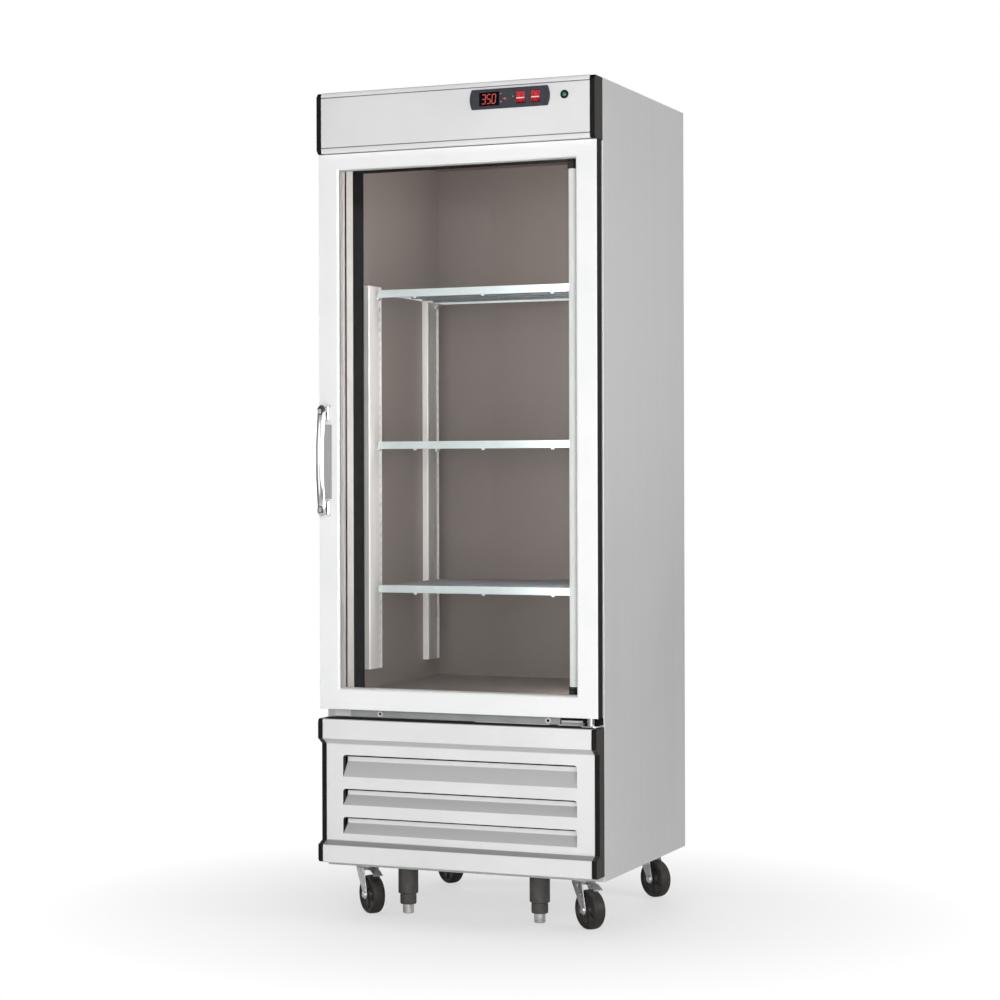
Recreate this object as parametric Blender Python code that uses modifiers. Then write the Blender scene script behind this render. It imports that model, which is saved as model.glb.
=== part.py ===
"""Dry aging cabinet: an upright glass-door refrigerator on casters, built as separate pieces.

Metres, +Z up. The front faces -Y. The origin is the middle of the footprint, on the floor.
"""

import math

import bmesh
import bpy
from mathutils import Matrix, Vector

# Overall sizes
cabinet_width = 0.743
body_depth = 0.670
body_height = 1.962
front_depth = 0.060
caster_height = 0.126

# Sheets, gaps and cuts
sheet = 0.001
clearance = 0.0003
overrun = 0.004
weld = 0.00001

# Walls of the insulated compartment
side_wall = 0.055
back_wall = 0.055
floor_wall = 0.055
ceiling_wall = 0.060
lintel_depth = 0.055
liner_sheet = 0.0012
side_flange = 0.022
pan_flange = 0.015

# Header
header_height = 0.153
header_sheet = 0.0015
header_lip = 0.013
header_crown = 0.013
header_lean = 0.007
header_return = 0.005
groove_depth = 0.0012

# Moulded end caps of the header and the grille
cap_width = 0.013
cap_proud = 0.001
cap_chamfer = 0.009

# Controller and pilot lamp in the header
bezel_length = 0.209
bezel_height = 0.049
bezel_thickness = 0.005
bezel_chamfer = 0.008
bezel_bow = 0.004
bezel_inset = 0.2190
bezel_drop = 0.044
housing_depth = 0.038
housing_margin = 0.009
window_length = 0.053
window_height = 0.034
window_inset = 0.025
window_depth = 0.0022
rocker_length = 0.023
rocker_height = 0.030
rocker_depth = 0.012
rocker_proud = 0.0022
rocker_dip = 0.0022
rocker_gap = 0.0009
rocker_shift_first = 0.0295
rocker_shift_second = 0.0680
rocker_tilt = 6.0
lamp_inset = 0.0775
lamp_radius = 0.0105
lamp_lens_radius = 0.0065
lamp_proud = 0.004
lamp_stem_radius = 0.0075
lamp_hole_radius = 0.0080
lamp_stem_length = 0.022

# Door
door_setback = 0.012
door_gap_above = 0.003
door_gap_below = 0.024
door_inset = 0.0005
door_thickness = 0.036
stile_width = 0.0540
bottom_rail = 0.0520
top_rail = 0.0390
face_thickness = 0.012
face_bevel = 0.0015
glass_thickness = 0.0036
glass_bite = 0.011
spacer_bite = 0.003
spacer_width = 0.0125
bead_depth = 0.0072
case_lintel = 0.030
case_sill = 0.041
gasket_width = 0.022
gasket_margin = 0.0045
gasket_root = 0.010
gasket_root_depth = 0.005

# Handle
handle_length = 0.297
handle_middle = 1.0315
handle_inset = 0.0265
handle_reach = 0.050
handle_radius = 0.0065
handle_foot = 0.024
handle_foot_height = 0.030
handle_foot_depth = 0.008
handle_foot_bevel = 0.003
handle_shoulder = 0.030
plate_width = 0.021
plate_thickness = 0.0014

# Hinges
hinge_inset = 0.0235
hinge_setback = 0.028
bracket_sheet = 0.0035
bracket_length = 0.070
lower_bracket_tail = 0.0205
upper_bracket_tail = 0.0160
bracket_round = 0.012
bracket_flange = 0.0145
bracket_lift = 0.0025
upper_bracket_lift = 0.0020
hinge_pin_radius = 0.004
pin_clearance = 0.0005
hinge_collar_radius = 0.007
hinge_pin_reach = 0.022
hinge_head = 0.003

# Sill rail
rail_height = 0.019
rail_depth = 0.014
rail_left_inset = 0.0715
rail_right_inset = 0.1095
rail_cap_radius = 0.0055
rail_cap_proud = 0.003
rail_cap_left_inset = 0.1665
rail_cap_right_inset = 0.1265

# Breaker frame round the opening
breaker_face = 0.004
breaker_jamb = 0.105
breaker_wall = 0.002
breaker_border = 0.045

# Louvred lower panel
grille_lift = 0.014
grille_height = 0.364
grille_sheet = 0.0015
upper_band = 0.050
upper_step = 0.015
lower_band = 0.045
lower_step = 0.009
recess_depth = 0.024
grille_fold = 0.008
grille_lip = 0.020
louvre_inset = 0.0585
louvre_corner = 0.008
louvre_depth = 0.030
louvre_lip = 0.012
louvre_slot = 0.003
first_louvre_share = 0.112
louvre_height_shares = (0.2245, 0.1675, 0.1715)
louvre_gap_share = 0.1245

# Pilasters and their shelf clips
pilaster_width = 0.082
pilaster_proud = 0.0145
pilaster_sheet = 0.0015
pilaster_front = 0.108
pilaster_rear = 0.033
pilaster_bottom = 0.049
pilaster_top = 1.042
slot_height = 0.030
slot_width = 0.005
slot_pitch = 0.100
slot_edge = 0.010
clip_reach = 0.011
clip_width = 0.020
clip_height = 0.012

# Wire shelves
shelf_heights = (0.267, 0.639, 1.032)
shelf_front = 0.145
shelf_back = 0.020
shelf_side_gap = 0.004
rod_radius = 0.003
wire_radius = 0.002
rail_drop = 0.011
wire_pitch = 0.030
cross_rods = 2
cross_radius = 0.0025
link_radius = 0.0015
guard_link_shares = (-0.5, 0, 0.5)

# Lamp post
post_inset = 0.0355
post_setback = 0.025
post_width = 0.017
post_depth = 0.022
post_holder = 0.026
post_holder_wall = 0.002
post_round = 0.006

# Evaporator under the ceiling
evaporator_space = 0.068
tray_sheet = 0.0012
tray_gap = 0.003
evaporator_fan_radius = 0.072
fan_tip_gap = 0.004
evaporator_fan_setback = 0.110
coil_margin = 0.040
evaporator_coil_depth = 0.170
evaporator_coil_height = 0.044
evaporator_core = 0.120
evaporator_fin_pitch = 0.040
fin_width = 0.006
intake_height = 0.012
intake_inset = 0.050
bend_radius = 0.0045
bend_spacing = 0.022
motor_radius = 0.020
motor_length = 0.022
arm_width = 0.008

# Condensing unit
condenser_setback = 0.012
condenser_width = 0.340
condenser_height = 0.260
condenser_depth = 0.044
condenser_lift = 0.022
condenser_core = 0.018
condenser_fin_pitch = 0.028
coil_foot = 0.020
shroud_depth = 0.012
shroud_sheet = 0.003
condenser_fan_radius = 0.105
fan_hub_radius = 0.024
fan_hub_length = 0.022
fan_blade_sheet = 0.002
fan_blade_pitch = 0.018
compressor_radius = 0.075
compressor_height = 0.180
compressor_setback = 0.430
compressor_plate = 0.170
compressor_plate_sheet = 0.003

# Rear vented cover
vent_height = 0.012
vent_length = 0.220
vent_pitch = 0.028
vent_rows = 9
vent_columns = 2
gland_radius = 0.012
gland_length = 0.010
gland_bore = 0.005
gland_inset = 0.0715
gland_z = 0.060

# Base frame with its caster plates
base_sheet = 0.002
base_flange = 0.035
caster_plate = 0.092
caster_plate_sheet = 0.003
race_radius = 0.026
race_height = 0.006

# Casters
caster_inset = 0.0785
front_caster = 0.068
rear_caster = 0.075
caster_trail = 0.030
wheel_radius = 0.050
wheel_width = 0.032
wheel_steps = 16
wheel_crown = 0.003
wheel_dish = 0.007
wheel_rim = 0.012
hub_radius = 0.014
axle_radius = 0.005
axle_head = 0.009
fork_sheet = 0.0025
fork_gap = 0.003
fork_top_radius = 0.027
fork_cheek = 0.012
pedal_width = 0.026
pedal_sheet = 0.002
pedal_reach = 0.048
pedal_fall = 0.012
pedal_barrel = 0.0022
caster_turns = {"front_left": -41.0, "front_right": -38.0, "rear_left": -36.0, "rear_right": -35.0}

# Adjustable legs
leg_inset = 0.1935
leg_setback = 0.068
leg_radius = 0.0255
leg_upper = 0.066
leg_step_radius = 0.0205
leg_lower = 0.028
leg_flange_radius = 0.029
leg_flange = 0.004
leg_bore = 0.0105
foot_radius = 0.0140
foot_height = 0.0235
foot_shank = 0.010
foot_shank_length = 0.040

# Places worked out from the sizes above
half_width = cabinet_width / 2
total_depth = handle_reach - door_setback + front_depth + body_depth
face_y = -total_depth / 2 + handle_reach - door_setback
case_front = face_y + front_depth
case_back = case_front + body_depth
base_z = caster_height
top_z = base_z + body_height
inner_half = half_width - side_wall
grille_bottom = base_z + grille_lift
grille_top = grille_bottom + grille_height
header_bottom = top_z - header_height
door_bottom = grille_top + door_gap_below
door_top = header_bottom - door_gap_above
door_face = face_y + door_setback
door_back = door_face + door_thickness
door_half = half_width - door_inset
deck_z = door_bottom + case_sill
opening_top = door_top - case_lintel
ceiling_z = top_z - ceiling_wall
machine_ceiling = deck_z - floor_wall
liner_back = case_back - back_wall
lintel_back = case_front + lintel_depth
cap_inner = half_width - cap_width
hinge_x = half_width - hinge_inset
handle_x = half_width - handle_inset
bezel_middle_x = half_width - bezel_inset
lamp_x = half_width - lamp_inset
post_x = inner_half - post_inset
gland_x = half_width - gland_inset
caster_x = half_width - caster_inset
leg_x = half_width - leg_inset
hinge_y = face_y + hinge_setback
round_steps = 16
small_steps = 10

# Colour, metallic value and roughness of each finish
finishes = {
    "brushed steel": ((0.52, 0.52, 0.53), 0.85, 0.38),
    "silver paint": ((0.72, 0.73, 0.74), 0.35, 0.35),
    "galvanised": ((0.55, 0.56, 0.57), 0.8, 0.5),
    "zinc plate": ((0.70, 0.70, 0.72), 0.9, 0.32),
    "chrome": ((0.82, 0.83, 0.84), 1.0, 0.08),
    "black plastic": ((0.02, 0.02, 0.02), 0.0, 0.45),
    "dark plastic": ((0.06, 0.06, 0.055), 0.0, 0.5),
    "charcoal plastic": ((0.05, 0.055, 0.065), 0.0, 0.4),
    "display black": ((0.005, 0.005, 0.006), 0.0, 0.1),
    "red plastic": ((0.65, 0.02, 0.03), 0.0, 0.3),
    "green lens": ((0.02, 0.18, 0.12), 0.0, 0.2),
    "foam": ((0.80, 0.72, 0.50), 0.0, 0.9),
    "liner enamel": ((0.45, 0.41, 0.39), 0.1, 0.45),
    "glass": ((0.85, 0.92, 0.90), 0.0, 0.03),
    "rubber": ((0.10, 0.10, 0.10), 0.0, 0.7),
    "coated wire": ((0.80, 0.85, 0.86), 0.0, 0.35),
    "lamp diffuser": ((0.92, 0.94, 0.95), 0.0, 0.4),
    "aluminium fins": ((0.75, 0.76, 0.77), 0.9, 0.4),
    "tyre": ((0.02, 0.018, 0.017), 0.0, 0.55),
    "light grey plastic": ((0.62, 0.61, 0.60), 0.0, 0.5),
}

parts = bpy.data.collections.new("dry_aging_cabinet")
cutters = bpy.data.collections.new("cutters")


def clear_scene():
    for obj in list(bpy.data.objects):
        bpy.data.objects.remove(obj, do_unlink=True)
    for collection in (parts, cutters):
        bpy.context.scene.collection.children.link(collection)


def finish_material(name, finish):
    colour, metallic, roughness = finishes[finish]
    material = bpy.data.materials.new(f"{name} {finish}")
    material.use_nodes = True
    shader = material.node_tree.nodes["Principled BSDF"]
    shader.inputs["Base Color"].default_value = (*colour, 1.0)
    shader.inputs["Metallic"].default_value = metallic
    shader.inputs["Roughness"].default_value = roughness
    if finish == "glass":
        shader.inputs["Transmission Weight"].default_value = 1.0
    return material


def part(name, mesh, finish, parent=None, origin=None):
    """One piece of the cabinet. Its mesh is in world places, and its origin goes where it is told."""
    obj = bpy.data.objects.new(name, mesh)
    parts.objects.link(obj)
    mesh.name = name
    mesh.materials.clear()
    mesh.materials.append(finish_material(name, finish))
    if origin is not None:
        mesh.transform(Matrix.Translation(-origin))
        obj.location = origin
    if parent is not None:
        obj.parent = parent
        obj.location -= parent.location
    return obj


def smooth(obj, angle=35.0):
    obj.data.shade_smooth()
    obj.data.set_sharp_from_angle(angle=math.radians(angle))
    return obj


def pivot(name, location, turn=0.0):
    """An empty on a joint's axis, for the pieces that turn there."""
    obj = bpy.data.objects.new(name, None)
    parts.objects.link(obj)
    obj.location = location
    obj.rotation_euler = (0, 0, math.radians(turn))
    return obj


def cutter(name, mesh):
    obj = bpy.data.objects.new(name, mesh)
    cutters.objects.link(obj)
    obj.hide_render = True
    obj.display_type = "WIRE"
    return obj


def boolean(target, tool_mesh, operation, overlapping=False):
    """Cuts the tool's mesh from the target, or joins it on."""
    count = len(target.modifiers) + 1
    modifier = target.modifiers.new(operation.lower(), "BOOLEAN")
    modifier.object = cutter(f"{target.name}_{operation.lower()}_{count}", tool_mesh)
    modifier.operation = operation
    modifier.solver = "EXACT"
    modifier.use_self = overlapping
    return target


def bevel(obj, width, segments=2):
    modifier = obj.modifiers.new("bevel", "BEVEL")
    modifier.width = width
    modifier.segments = segments
    modifier.limit_method = "ANGLE"
    modifier.angle_limit = math.radians(40)
    return obj


def evaluated_mesh(obj):
    """The object's mesh as its modifiers or its curve settings make it, in world places."""
    bpy.context.view_layer.update()
    graph = bpy.context.evaluated_depsgraph_get()
    mesh = bpy.data.meshes.new_from_object(obj.evaluated_get(graph))
    mesh.transform(obj.matrix_world)
    bm = bmesh.new()
    bm.from_mesh(mesh)
    bmesh.ops.remove_doubles(bm, verts=bm.verts, dist=weld)
    bmesh.ops.recalc_face_normals(bm, faces=bm.faces)
    bm.to_mesh(mesh)
    bm.free()
    bpy.data.objects.remove(obj, do_unlink=True)
    return mesh


def scratch(data):
    obj = bpy.data.objects.new("shape", data)
    cutters.objects.link(obj)
    return obj


def box(low, high):
    """A cube scaled and moved to fill the space between two corners."""
    low, high = Vector(low), Vector(high)
    mesh = bpy.data.meshes.new("box")
    bm = bmesh.new()
    bmesh.ops.create_cube(bm, size=1.0)
    bmesh.ops.scale(bm, vec=high - low, verts=bm.verts)
    bmesh.ops.translate(bm, vec=(high + low) / 2, verts=bm.verts)
    bm.to_mesh(mesh)
    bm.free()
    return mesh


def cylinder(axis, centre, radius, start, end, steps=small_steps):
    """A cylinder along an axis, centred on the two other coordinates."""
    mesh = bpy.data.meshes.new("cylinder")
    bm = bmesh.new()
    bmesh.ops.create_cone(bm, cap_ends=True, segments=steps, radius1=radius, radius2=radius, depth=end - start)
    bmesh.ops.transform(bm, matrix=axis_frame(axis, centre, (start + end) / 2), verts=bm.verts)
    bm.to_mesh(mesh)
    bm.free()
    return mesh


def place(axis, across, up, along):
    """A point of a section that lies across an axis: the section's own two coordinates, then the distance along."""
    if axis == "X":
        return Vector((along, across, up))
    if axis == "Y":
        return Vector((across, along, up))
    return Vector((across, up, along))


def axis_frame(axis, centre, along):
    """Turns a shape drawn flat, with its height on local Z, so that its height lies along the axis."""
    side = place(axis, 1, 0, 0)
    up = place(axis, 0, 1, 0)
    frame = Matrix((side, up, side.cross(up))).transposed().to_4x4()
    frame.translation = place(axis, centre[0], centre[1], along)
    return frame


def prism(axis, outlines, start, end):
    """A flat outline, with any holes in it, filled and given its thickness along an axis."""
    curve = bpy.data.curves.new("outline", "CURVE")
    curve.dimensions = "2D"
    curve.fill_mode = "BOTH"
    curve.extrude = (end - start) / 2
    for outline in outlines:
        spline = curve.splines.new("POLY")
        spline.points.add(len(outline) - 1)
        spline.use_cyclic_u = True
        for point, (across, up) in zip(spline.points, outline):
            point.co = (across, up, 0, 1)
    obj = scratch(curve)
    obj.matrix_world = axis_frame(axis, (0, 0), (start + end) / 2)
    return evaluated_mesh(obj)


def folded_sheet(axis, path, start, end, thickness):
    """A sheet folded along a path across the axis. Its thickness goes to the left of the path."""
    mesh = bpy.data.meshes.new("sheet")
    bm = bmesh.new()
    corners = [bm.verts.new(place(axis, across, up, start)) for across, up in path]
    edges = [bm.edges.new(pair) for pair in zip(corners, corners[1:])]
    made = bmesh.ops.extrude_edge_only(bm, edges=edges)["geom"]
    moved = [item for item in made if isinstance(item, bmesh.types.BMVert)]
    bmesh.ops.translate(bm, vec=place(axis, 0, 0, end - start), verts=moved)
    (across, up), (next_across, next_up) = path[:2]
    left = place(axis, up - next_up, next_across - across, 0)
    first = next(face for face in bm.faces if corners[0] in face.verts)
    first.normal_update()
    if first.normal.dot(left) > 0:
        bmesh.ops.reverse_faces(bm, faces=bm.faces)
    bm.to_mesh(mesh)
    bm.free()
    obj = scratch(mesh)
    solidify = obj.modifiers.new("thickness", "SOLIDIFY")
    solidify.thickness = thickness
    solidify.offset = -1
    solidify.use_even_offset = True
    return evaluated_mesh(obj)


def turned(profile, steps, closed=False):
    """A profile of radius and height turned round local Z. It runs down the outer side."""
    mesh = bpy.data.meshes.new("turned")
    bm = bmesh.new()
    points = [bm.verts.new((radius, 0, height)) for radius, height in profile]
    pairs = list(zip(points, points[1:]))
    if closed:
        pairs.append((points[-1], points[0]))
    for pair in pairs:
        bm.edges.new(pair)
    bm.to_mesh(mesh)
    bm.free()
    obj = scratch(mesh)
    screw = obj.modifiers.new("turn", "SCREW")
    screw.axis = "Z"
    screw.steps = steps
    screw.render_steps = steps
    screw.use_merge_vertices = True
    screw.merge_threshold = weld
    return evaluated_mesh(obj)


def tube(points, radius, resolution=2, closed=False):
    """A round rod along points."""
    curve = bpy.data.curves.new("tube", "CURVE")
    curve.dimensions = "3D"
    curve.bevel_depth = radius
    curve.bevel_resolution = resolution
    curve.use_fill_caps = True
    spline = curve.splines.new("POLY")
    spline.points.add(len(points) - 1)
    spline.use_cyclic_u = closed
    for point, place_of_point in zip(spline.points, points):
        point.co = (*place_of_point, 1)
    return evaluated_mesh(scratch(curve))


def moved(mesh, matrix):
    """A turned or moved copy of a mesh."""
    copy = mesh.copy()
    copy.transform(matrix)
    return copy


def merged(meshes):
    """Several meshes in one, still separate bodies."""
    bm = bmesh.new()
    for mesh in meshes:
        bm.from_mesh(mesh)
    whole = bpy.data.meshes.new("merged")
    bm.to_mesh(whole)
    bm.free()
    return whole


def combined(base, tool, operation, overlapping=False):
    """The mesh that a Boolean of two meshes makes, for shapes that several pieces share."""
    target = scratch(base)
    modifier = target.modifiers.new("combine", "BOOLEAN")
    modifier.object = scratch(tool)
    modifier.operation = operation
    modifier.solver = "EXACT"
    modifier.use_self = overlapping
    tool_object = modifier.object
    mesh = evaluated_mesh(target)
    bpy.data.objects.remove(tool_object, do_unlink=True)
    return mesh


def rectangle(left, right, bottom, top):
    return [(left, bottom), (right, bottom), (right, top), (left, top)]


def rounded_rectangle(left, right, bottom, top, radius, steps=3, corners=(0, 1, 2, 3)):
    """A rectangle with arcs at some of its corners, counted from the lower left."""
    middles = [
        (left + radius, bottom + radius, 180),
        (right - radius, bottom + radius, 270),
        (right - radius, top - radius, 0),
        (left + radius, top - radius, 90),
    ]
    plain = rectangle(left, right, bottom, top)
    outline = []
    for number, (across, up, first) in enumerate(middles):
        if number not in corners:
            outline.append(plain[number])
            continue
        for step in range(steps + 1):
            angle = math.radians(first + 90 * step / steps)
            outline.append((across + radius * math.cos(angle), up + radius * math.sin(angle)))
    return outline


def circle(across, up, radius, steps=round_steps):
    return [
        (across + radius * math.cos(math.tau * step / steps), up + radius * math.sin(math.tau * step / steps))
        for step in range(steps)
    ]


# Case: outer sheets, foam, liner and breaker frame


def side_panel(name, side):
    """A brushed sheet with a flange folded in at its front edge."""
    path = [
        (side * (half_width - side_flange), case_front),
        (side * half_width, case_front),
        (side * half_width, case_back),
    ]
    if side < 0:
        path.reverse()
    mesh = folded_sheet("Z", path, base_z, top_z, sheet)
    return part(name, mesh, "brushed steel")


def top_panel():
    edge = half_width - sheet - clearance
    path = [(edge, top_z - pan_flange), (edge, top_z), (-edge, top_z), (-edge, top_z - pan_flange)]
    front, back = case_front + sheet + clearance, case_back - sheet - 2 * clearance
    mesh = folded_sheet("Y", path, front, back, sheet)
    return part("top_panel", mesh, "brushed steel")


def rear_panel():
    edge = half_width - sheet - clearance
    front = case_back - pan_flange
    path = [(edge, front), (edge, case_back), (-edge, case_back), (-edge, front)]
    top = top_z - sheet - clearance
    mesh = folded_sheet("Z", path, machine_ceiling, top, sheet)
    obj = part("rear_panel", mesh, "galvanised")
    # Room for the top panel's side flanges, which come down inside this panel's own
    flange_edge = edge - sheet
    room = [
        box(
            (side * flange_edge - overrun, front - overrun, top_z - pan_flange - clearance),
            (side * flange_edge + overrun, case_back - sheet - clearance, top_z),
        )
        for side in (-1, 1)
    ]
    return boolean(obj, merged(room), "DIFFERENCE")


def cavity(margin, front):
    """The compartment's section, from the sill to the ceiling behind the lintel, grown by a margin."""
    return [
        (front, deck_z - margin),
        (liner_back + margin, deck_z - margin),
        (liner_back + margin, ceiling_z + margin),
        (lintel_back - margin, ceiling_z + margin),
        (lintel_back - margin, opening_top + margin),
        (front, opening_top + margin),
    ]


def foam_insulation():
    edge = half_width - 2 * (sheet + clearance)
    front = case_front + breaker_face + clearance
    obj = part(
        "foam_insulation",
        box(
            (-edge, front, machine_ceiling),
            (edge, case_back - sheet - clearance, top_z - sheet - clearance),
        ),
        "foam",
    )
    margin = liner_sheet + clearance
    hollow = prism("X", [cavity(margin, front - overrun)], -inner_half - margin, inner_half + margin)
    return boolean(obj, hollow, "DIFFERENCE")


def inner_liner():
    front = case_front + breaker_face + clearance
    outer = prism("X", [cavity(liner_sheet, front)], -inner_half - liner_sheet, inner_half + liner_sheet)
    obj = part("inner_liner", outer, "liner enamel")
    return boolean(obj, prism("X", [cavity(0, front - overrun)], -inner_half, inner_half), "DIFFERENCE")


def breaker_frame():
    """The moulded frame round the door opening: a flat face for the gasket and a jamb that lines the opening."""
    outer_edge = half_width - side_flange - clearance
    inner_edge = inner_half - clearance - breaker_wall
    lower, upper = deck_z + clearance, opening_top - clearance
    jamb_outline = rectangle(-inner_half + clearance, inner_half - clearance, lower, upper)
    hole = rectangle(-inner_edge, inner_edge, lower + breaker_wall, upper - breaker_wall)
    face_outline = rectangle(-outer_edge, outer_edge, machine_ceiling, opening_top + breaker_border)
    face = prism("Y", [face_outline, hole], case_front, case_front + breaker_face)
    # The jamb stops at the lintel's back above, so that it lies on the liner all round
    jamb = prism("Y", [jamb_outline, hole], case_front + sheet, case_front + breaker_jamb)
    obj = part("front_breaker_frame", combined(face, jamb, "UNION"), "black plastic")
    above = box(
        (-half_width, lintel_back - clearance, upper - 2 * breaker_wall),
        (half_width, case_front + breaker_jamb + overrun, upper + overrun),
    )
    return boolean(obj, above, "DIFFERENCE")


def build_case():
    side_panel("side_panel_left", -1)
    side_panel("side_panel_right", 1)
    top_panel()
    rear_panel()
    foam_insulation()
    inner_liner()
    breaker_frame()


# Header with its end caps, controller, switches and pilot lamp


def header_path():
    """The header's section from its bottom lip up the front to the top's back edge."""
    lower_groove = header_bottom + header_lip
    upper_groove = top_z - header_crown
    return [
        (face_y + header_lean + header_return, header_bottom),
        (face_y + header_lean, header_bottom),
        (face_y, lower_groove - groove_depth),
        (face_y + groove_depth, lower_groove),
        (face_y, lower_groove + groove_depth),
        (face_y, upper_groove - groove_depth),
        (face_y + groove_depth, upper_groove),
        (face_y, upper_groove + groove_depth),
        (face_y + header_lean, top_z),
        (case_front - clearance, top_z),
    ]


def bezel_centre_z():
    return top_z - bezel_drop


def rocker_places():
    return [bezel_middle_x + rocker_shift_first, bezel_middle_x + rocker_shift_second]


def control_header():
    path = header_path()
    path.reverse()
    edge = cap_inner - clearance
    obj = part("control_header", folded_sheet("X", path, -edge, edge, header_sheet), "silver paint")
    reach = bezel_length / 2 - housing_margin + clearance
    rise = bezel_height / 2 - housing_margin + clearance
    middle = bezel_centre_z()
    window = box(
        (bezel_middle_x - reach, face_y - overrun, middle - rise),
        (bezel_middle_x + reach, face_y + overrun, middle + rise),
    )
    stem = cylinder("Y", (lamp_x, middle), lamp_hole_radius, face_y - overrun, face_y + overrun, round_steps)
    return boolean(obj, merged([window, stem]), "DIFFERENCE")


def header_end_cap(name, side):
    front = face_y - cap_proud
    outline = [
        (front + cap_chamfer, header_bottom - cap_proud),
        (case_front - clearance, header_bottom - cap_proud),
        (case_front - clearance, top_z),
        (front + cap_chamfer, top_z),
        (front, top_z - cap_chamfer),
        (front, header_bottom - cap_proud + cap_chamfer),
    ]
    ends = sorted((side * cap_inner, side * half_width))
    obj = part(name, prism("X", [outline], *ends), "black plastic")
    return bevel(obj, cap_proud)


def controller_bezel():
    """A charcoal front with bowed ends, and the instrument's housing through the header behind it."""
    middle = bezel_centre_z()
    left, right = bezel_middle_x - bezel_length / 2, bezel_middle_x + bezel_length / 2
    bottom, top = middle - bezel_height / 2, middle + bezel_height / 2
    outline = [
        (left + bezel_chamfer, bottom),
        (right - bezel_chamfer, bottom),
        (right - bezel_bow, bottom + bezel_bow),
        (right, middle),
        (right - bezel_bow, top - bezel_bow),
        (right - bezel_chamfer, top),
        (left + bezel_chamfer, top),
        (left + bezel_bow, top - bezel_bow),
        (left, middle),
        (left + bezel_bow, bottom + bezel_bow),
    ]
    front = face_y - bezel_thickness
    face = prism("Y", [outline], front, face_y - clearance)
    reach, rise = bezel_length / 2 - housing_margin, bezel_height / 2 - housing_margin
    housing = box(
        (bezel_middle_x - reach, front + window_depth + sheet, middle - rise),
        (bezel_middle_x + reach, face_y + housing_depth, middle + rise),
    )
    obj = part("controller_bezel", combined(face, housing, "UNION"), "charcoal plastic")
    window_left = left + window_inset
    pockets = [
        box(
            (window_left, front - overrun, middle - window_height / 2),
            (window_left + window_length, front + window_depth, middle + window_height / 2),
        )
    ]
    for centre in rocker_places():
        pockets.append(
            box(
                (centre - rocker_length / 2 - rocker_gap, front - overrun, middle - rocker_height / 2 - rocker_gap),
                (
                    centre + rocker_length / 2 + rocker_gap,
                    front + rocker_depth + 2 * rocker_gap,
                    middle + rocker_height / 2 + rocker_gap,
                ),
            )
        )
    return boolean(obj, merged(pockets), "DIFFERENCE")


def controller_display():
    middle = bezel_centre_z()
    front = face_y - bezel_thickness
    left = bezel_middle_x - bezel_length / 2 + window_inset
    mesh = box(
        (left + clearance, front + clearance, middle - window_height / 2 + clearance),
        (left + window_length - clearance, front + window_depth - clearance, middle + window_height / 2 - clearance),
    )
    return part("controller_display", mesh, "display black")


def rocker_switch(name, centre):
    """A rocker with two sloping halves, on a pin across its middle, at rest with its upper half pressed."""
    middle = bezel_centre_z()
    front = face_y - bezel_thickness
    half = rocker_height / 2 - 2 * rocker_gap
    axis = Vector((centre, front + rocker_depth / 2, middle))
    outline = [
        (front - rocker_proud, middle - half),
        (front - rocker_proud + rocker_dip, middle),
        (front - rocker_proud, middle + half),
        (front + rocker_depth / 2, middle + half),
        (front + rocker_depth, middle + half / 2),
        (front + rocker_depth, middle - half / 2),
        (front + rocker_depth / 2, middle - half),
    ]
    mesh = prism("X", [outline], centre - rocker_length / 2, centre + rocker_length / 2)
    obj = part(name, mesh, "red plastic", origin=axis)
    obj.rotation_euler = (math.radians(-rocker_tilt), 0, 0)
    return obj


def pilot_lamp():
    """A round bezel with a domed lens, on a stem through the header."""
    profile = [
        (0, lamp_proud),
        (lamp_lens_radius * 0.6, lamp_proud * 0.9),
        (lamp_lens_radius, lamp_proud * 0.55),
        (lamp_lens_radius + clearance, lamp_proud * 0.75),
        (lamp_radius, lamp_proud * 0.45),
        (lamp_radius, clearance),
        (lamp_stem_radius, clearance),
        (lamp_stem_radius, -lamp_stem_length),
        (0, -lamp_stem_length),
    ]
    mesh = turned(profile, round_steps)
    frame = Matrix.Translation((lamp_x, face_y, bezel_centre_z())) @ Matrix.Rotation(math.radians(90), 4, "X")
    mesh.transform(frame)
    return smooth(part("pilot_lamp", mesh, "green lens"))


def build_header():
    control_header()
    header_end_cap("header_end_cap_left", -1)
    header_end_cap("header_end_cap_right", 1)
    controller_bezel()
    controller_display()
    for name, centre in zip(("rocker_switch_left", "rocker_switch_right"), rocker_places()):
        rocker_switch(name, centre)
    pilot_lamp()


# Louvred lower panel and the sill rail above it


def grille_path(offset=0.0):
    """The panel's front section from its bottom lip to its top, set forward by an offset."""
    front = face_y - offset
    fold = [
        (front + grille_fold * (1 - math.cos(angle)), grille_bottom + grille_fold * (1 - math.sin(angle)))
        for angle in (math.radians(90 - 30 * step) for step in range(4))
    ]
    lower_top = grille_bottom + lower_band
    upper_bottom = grille_top - upper_band
    return fold + [
        (front, lower_top),
        (front + recess_depth, lower_top + lower_step),
        (front + recess_depth, upper_bottom - upper_step),
        (front, upper_bottom),
        (front, grille_top),
    ]


def louvre_spans():
    """The bottom and top of each louvre's opening, from the highest down, as shares of the recessed face."""
    face_height = grille_height - upper_band - upper_step - lower_band - lower_step
    top = grille_top - upper_band - upper_step - face_height * first_louvre_share
    spans = []
    for share in louvre_height_shares:
        spans.append((top - face_height * share, top))
        top -= face_height * (share + louvre_gap_share)
    return spans


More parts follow.
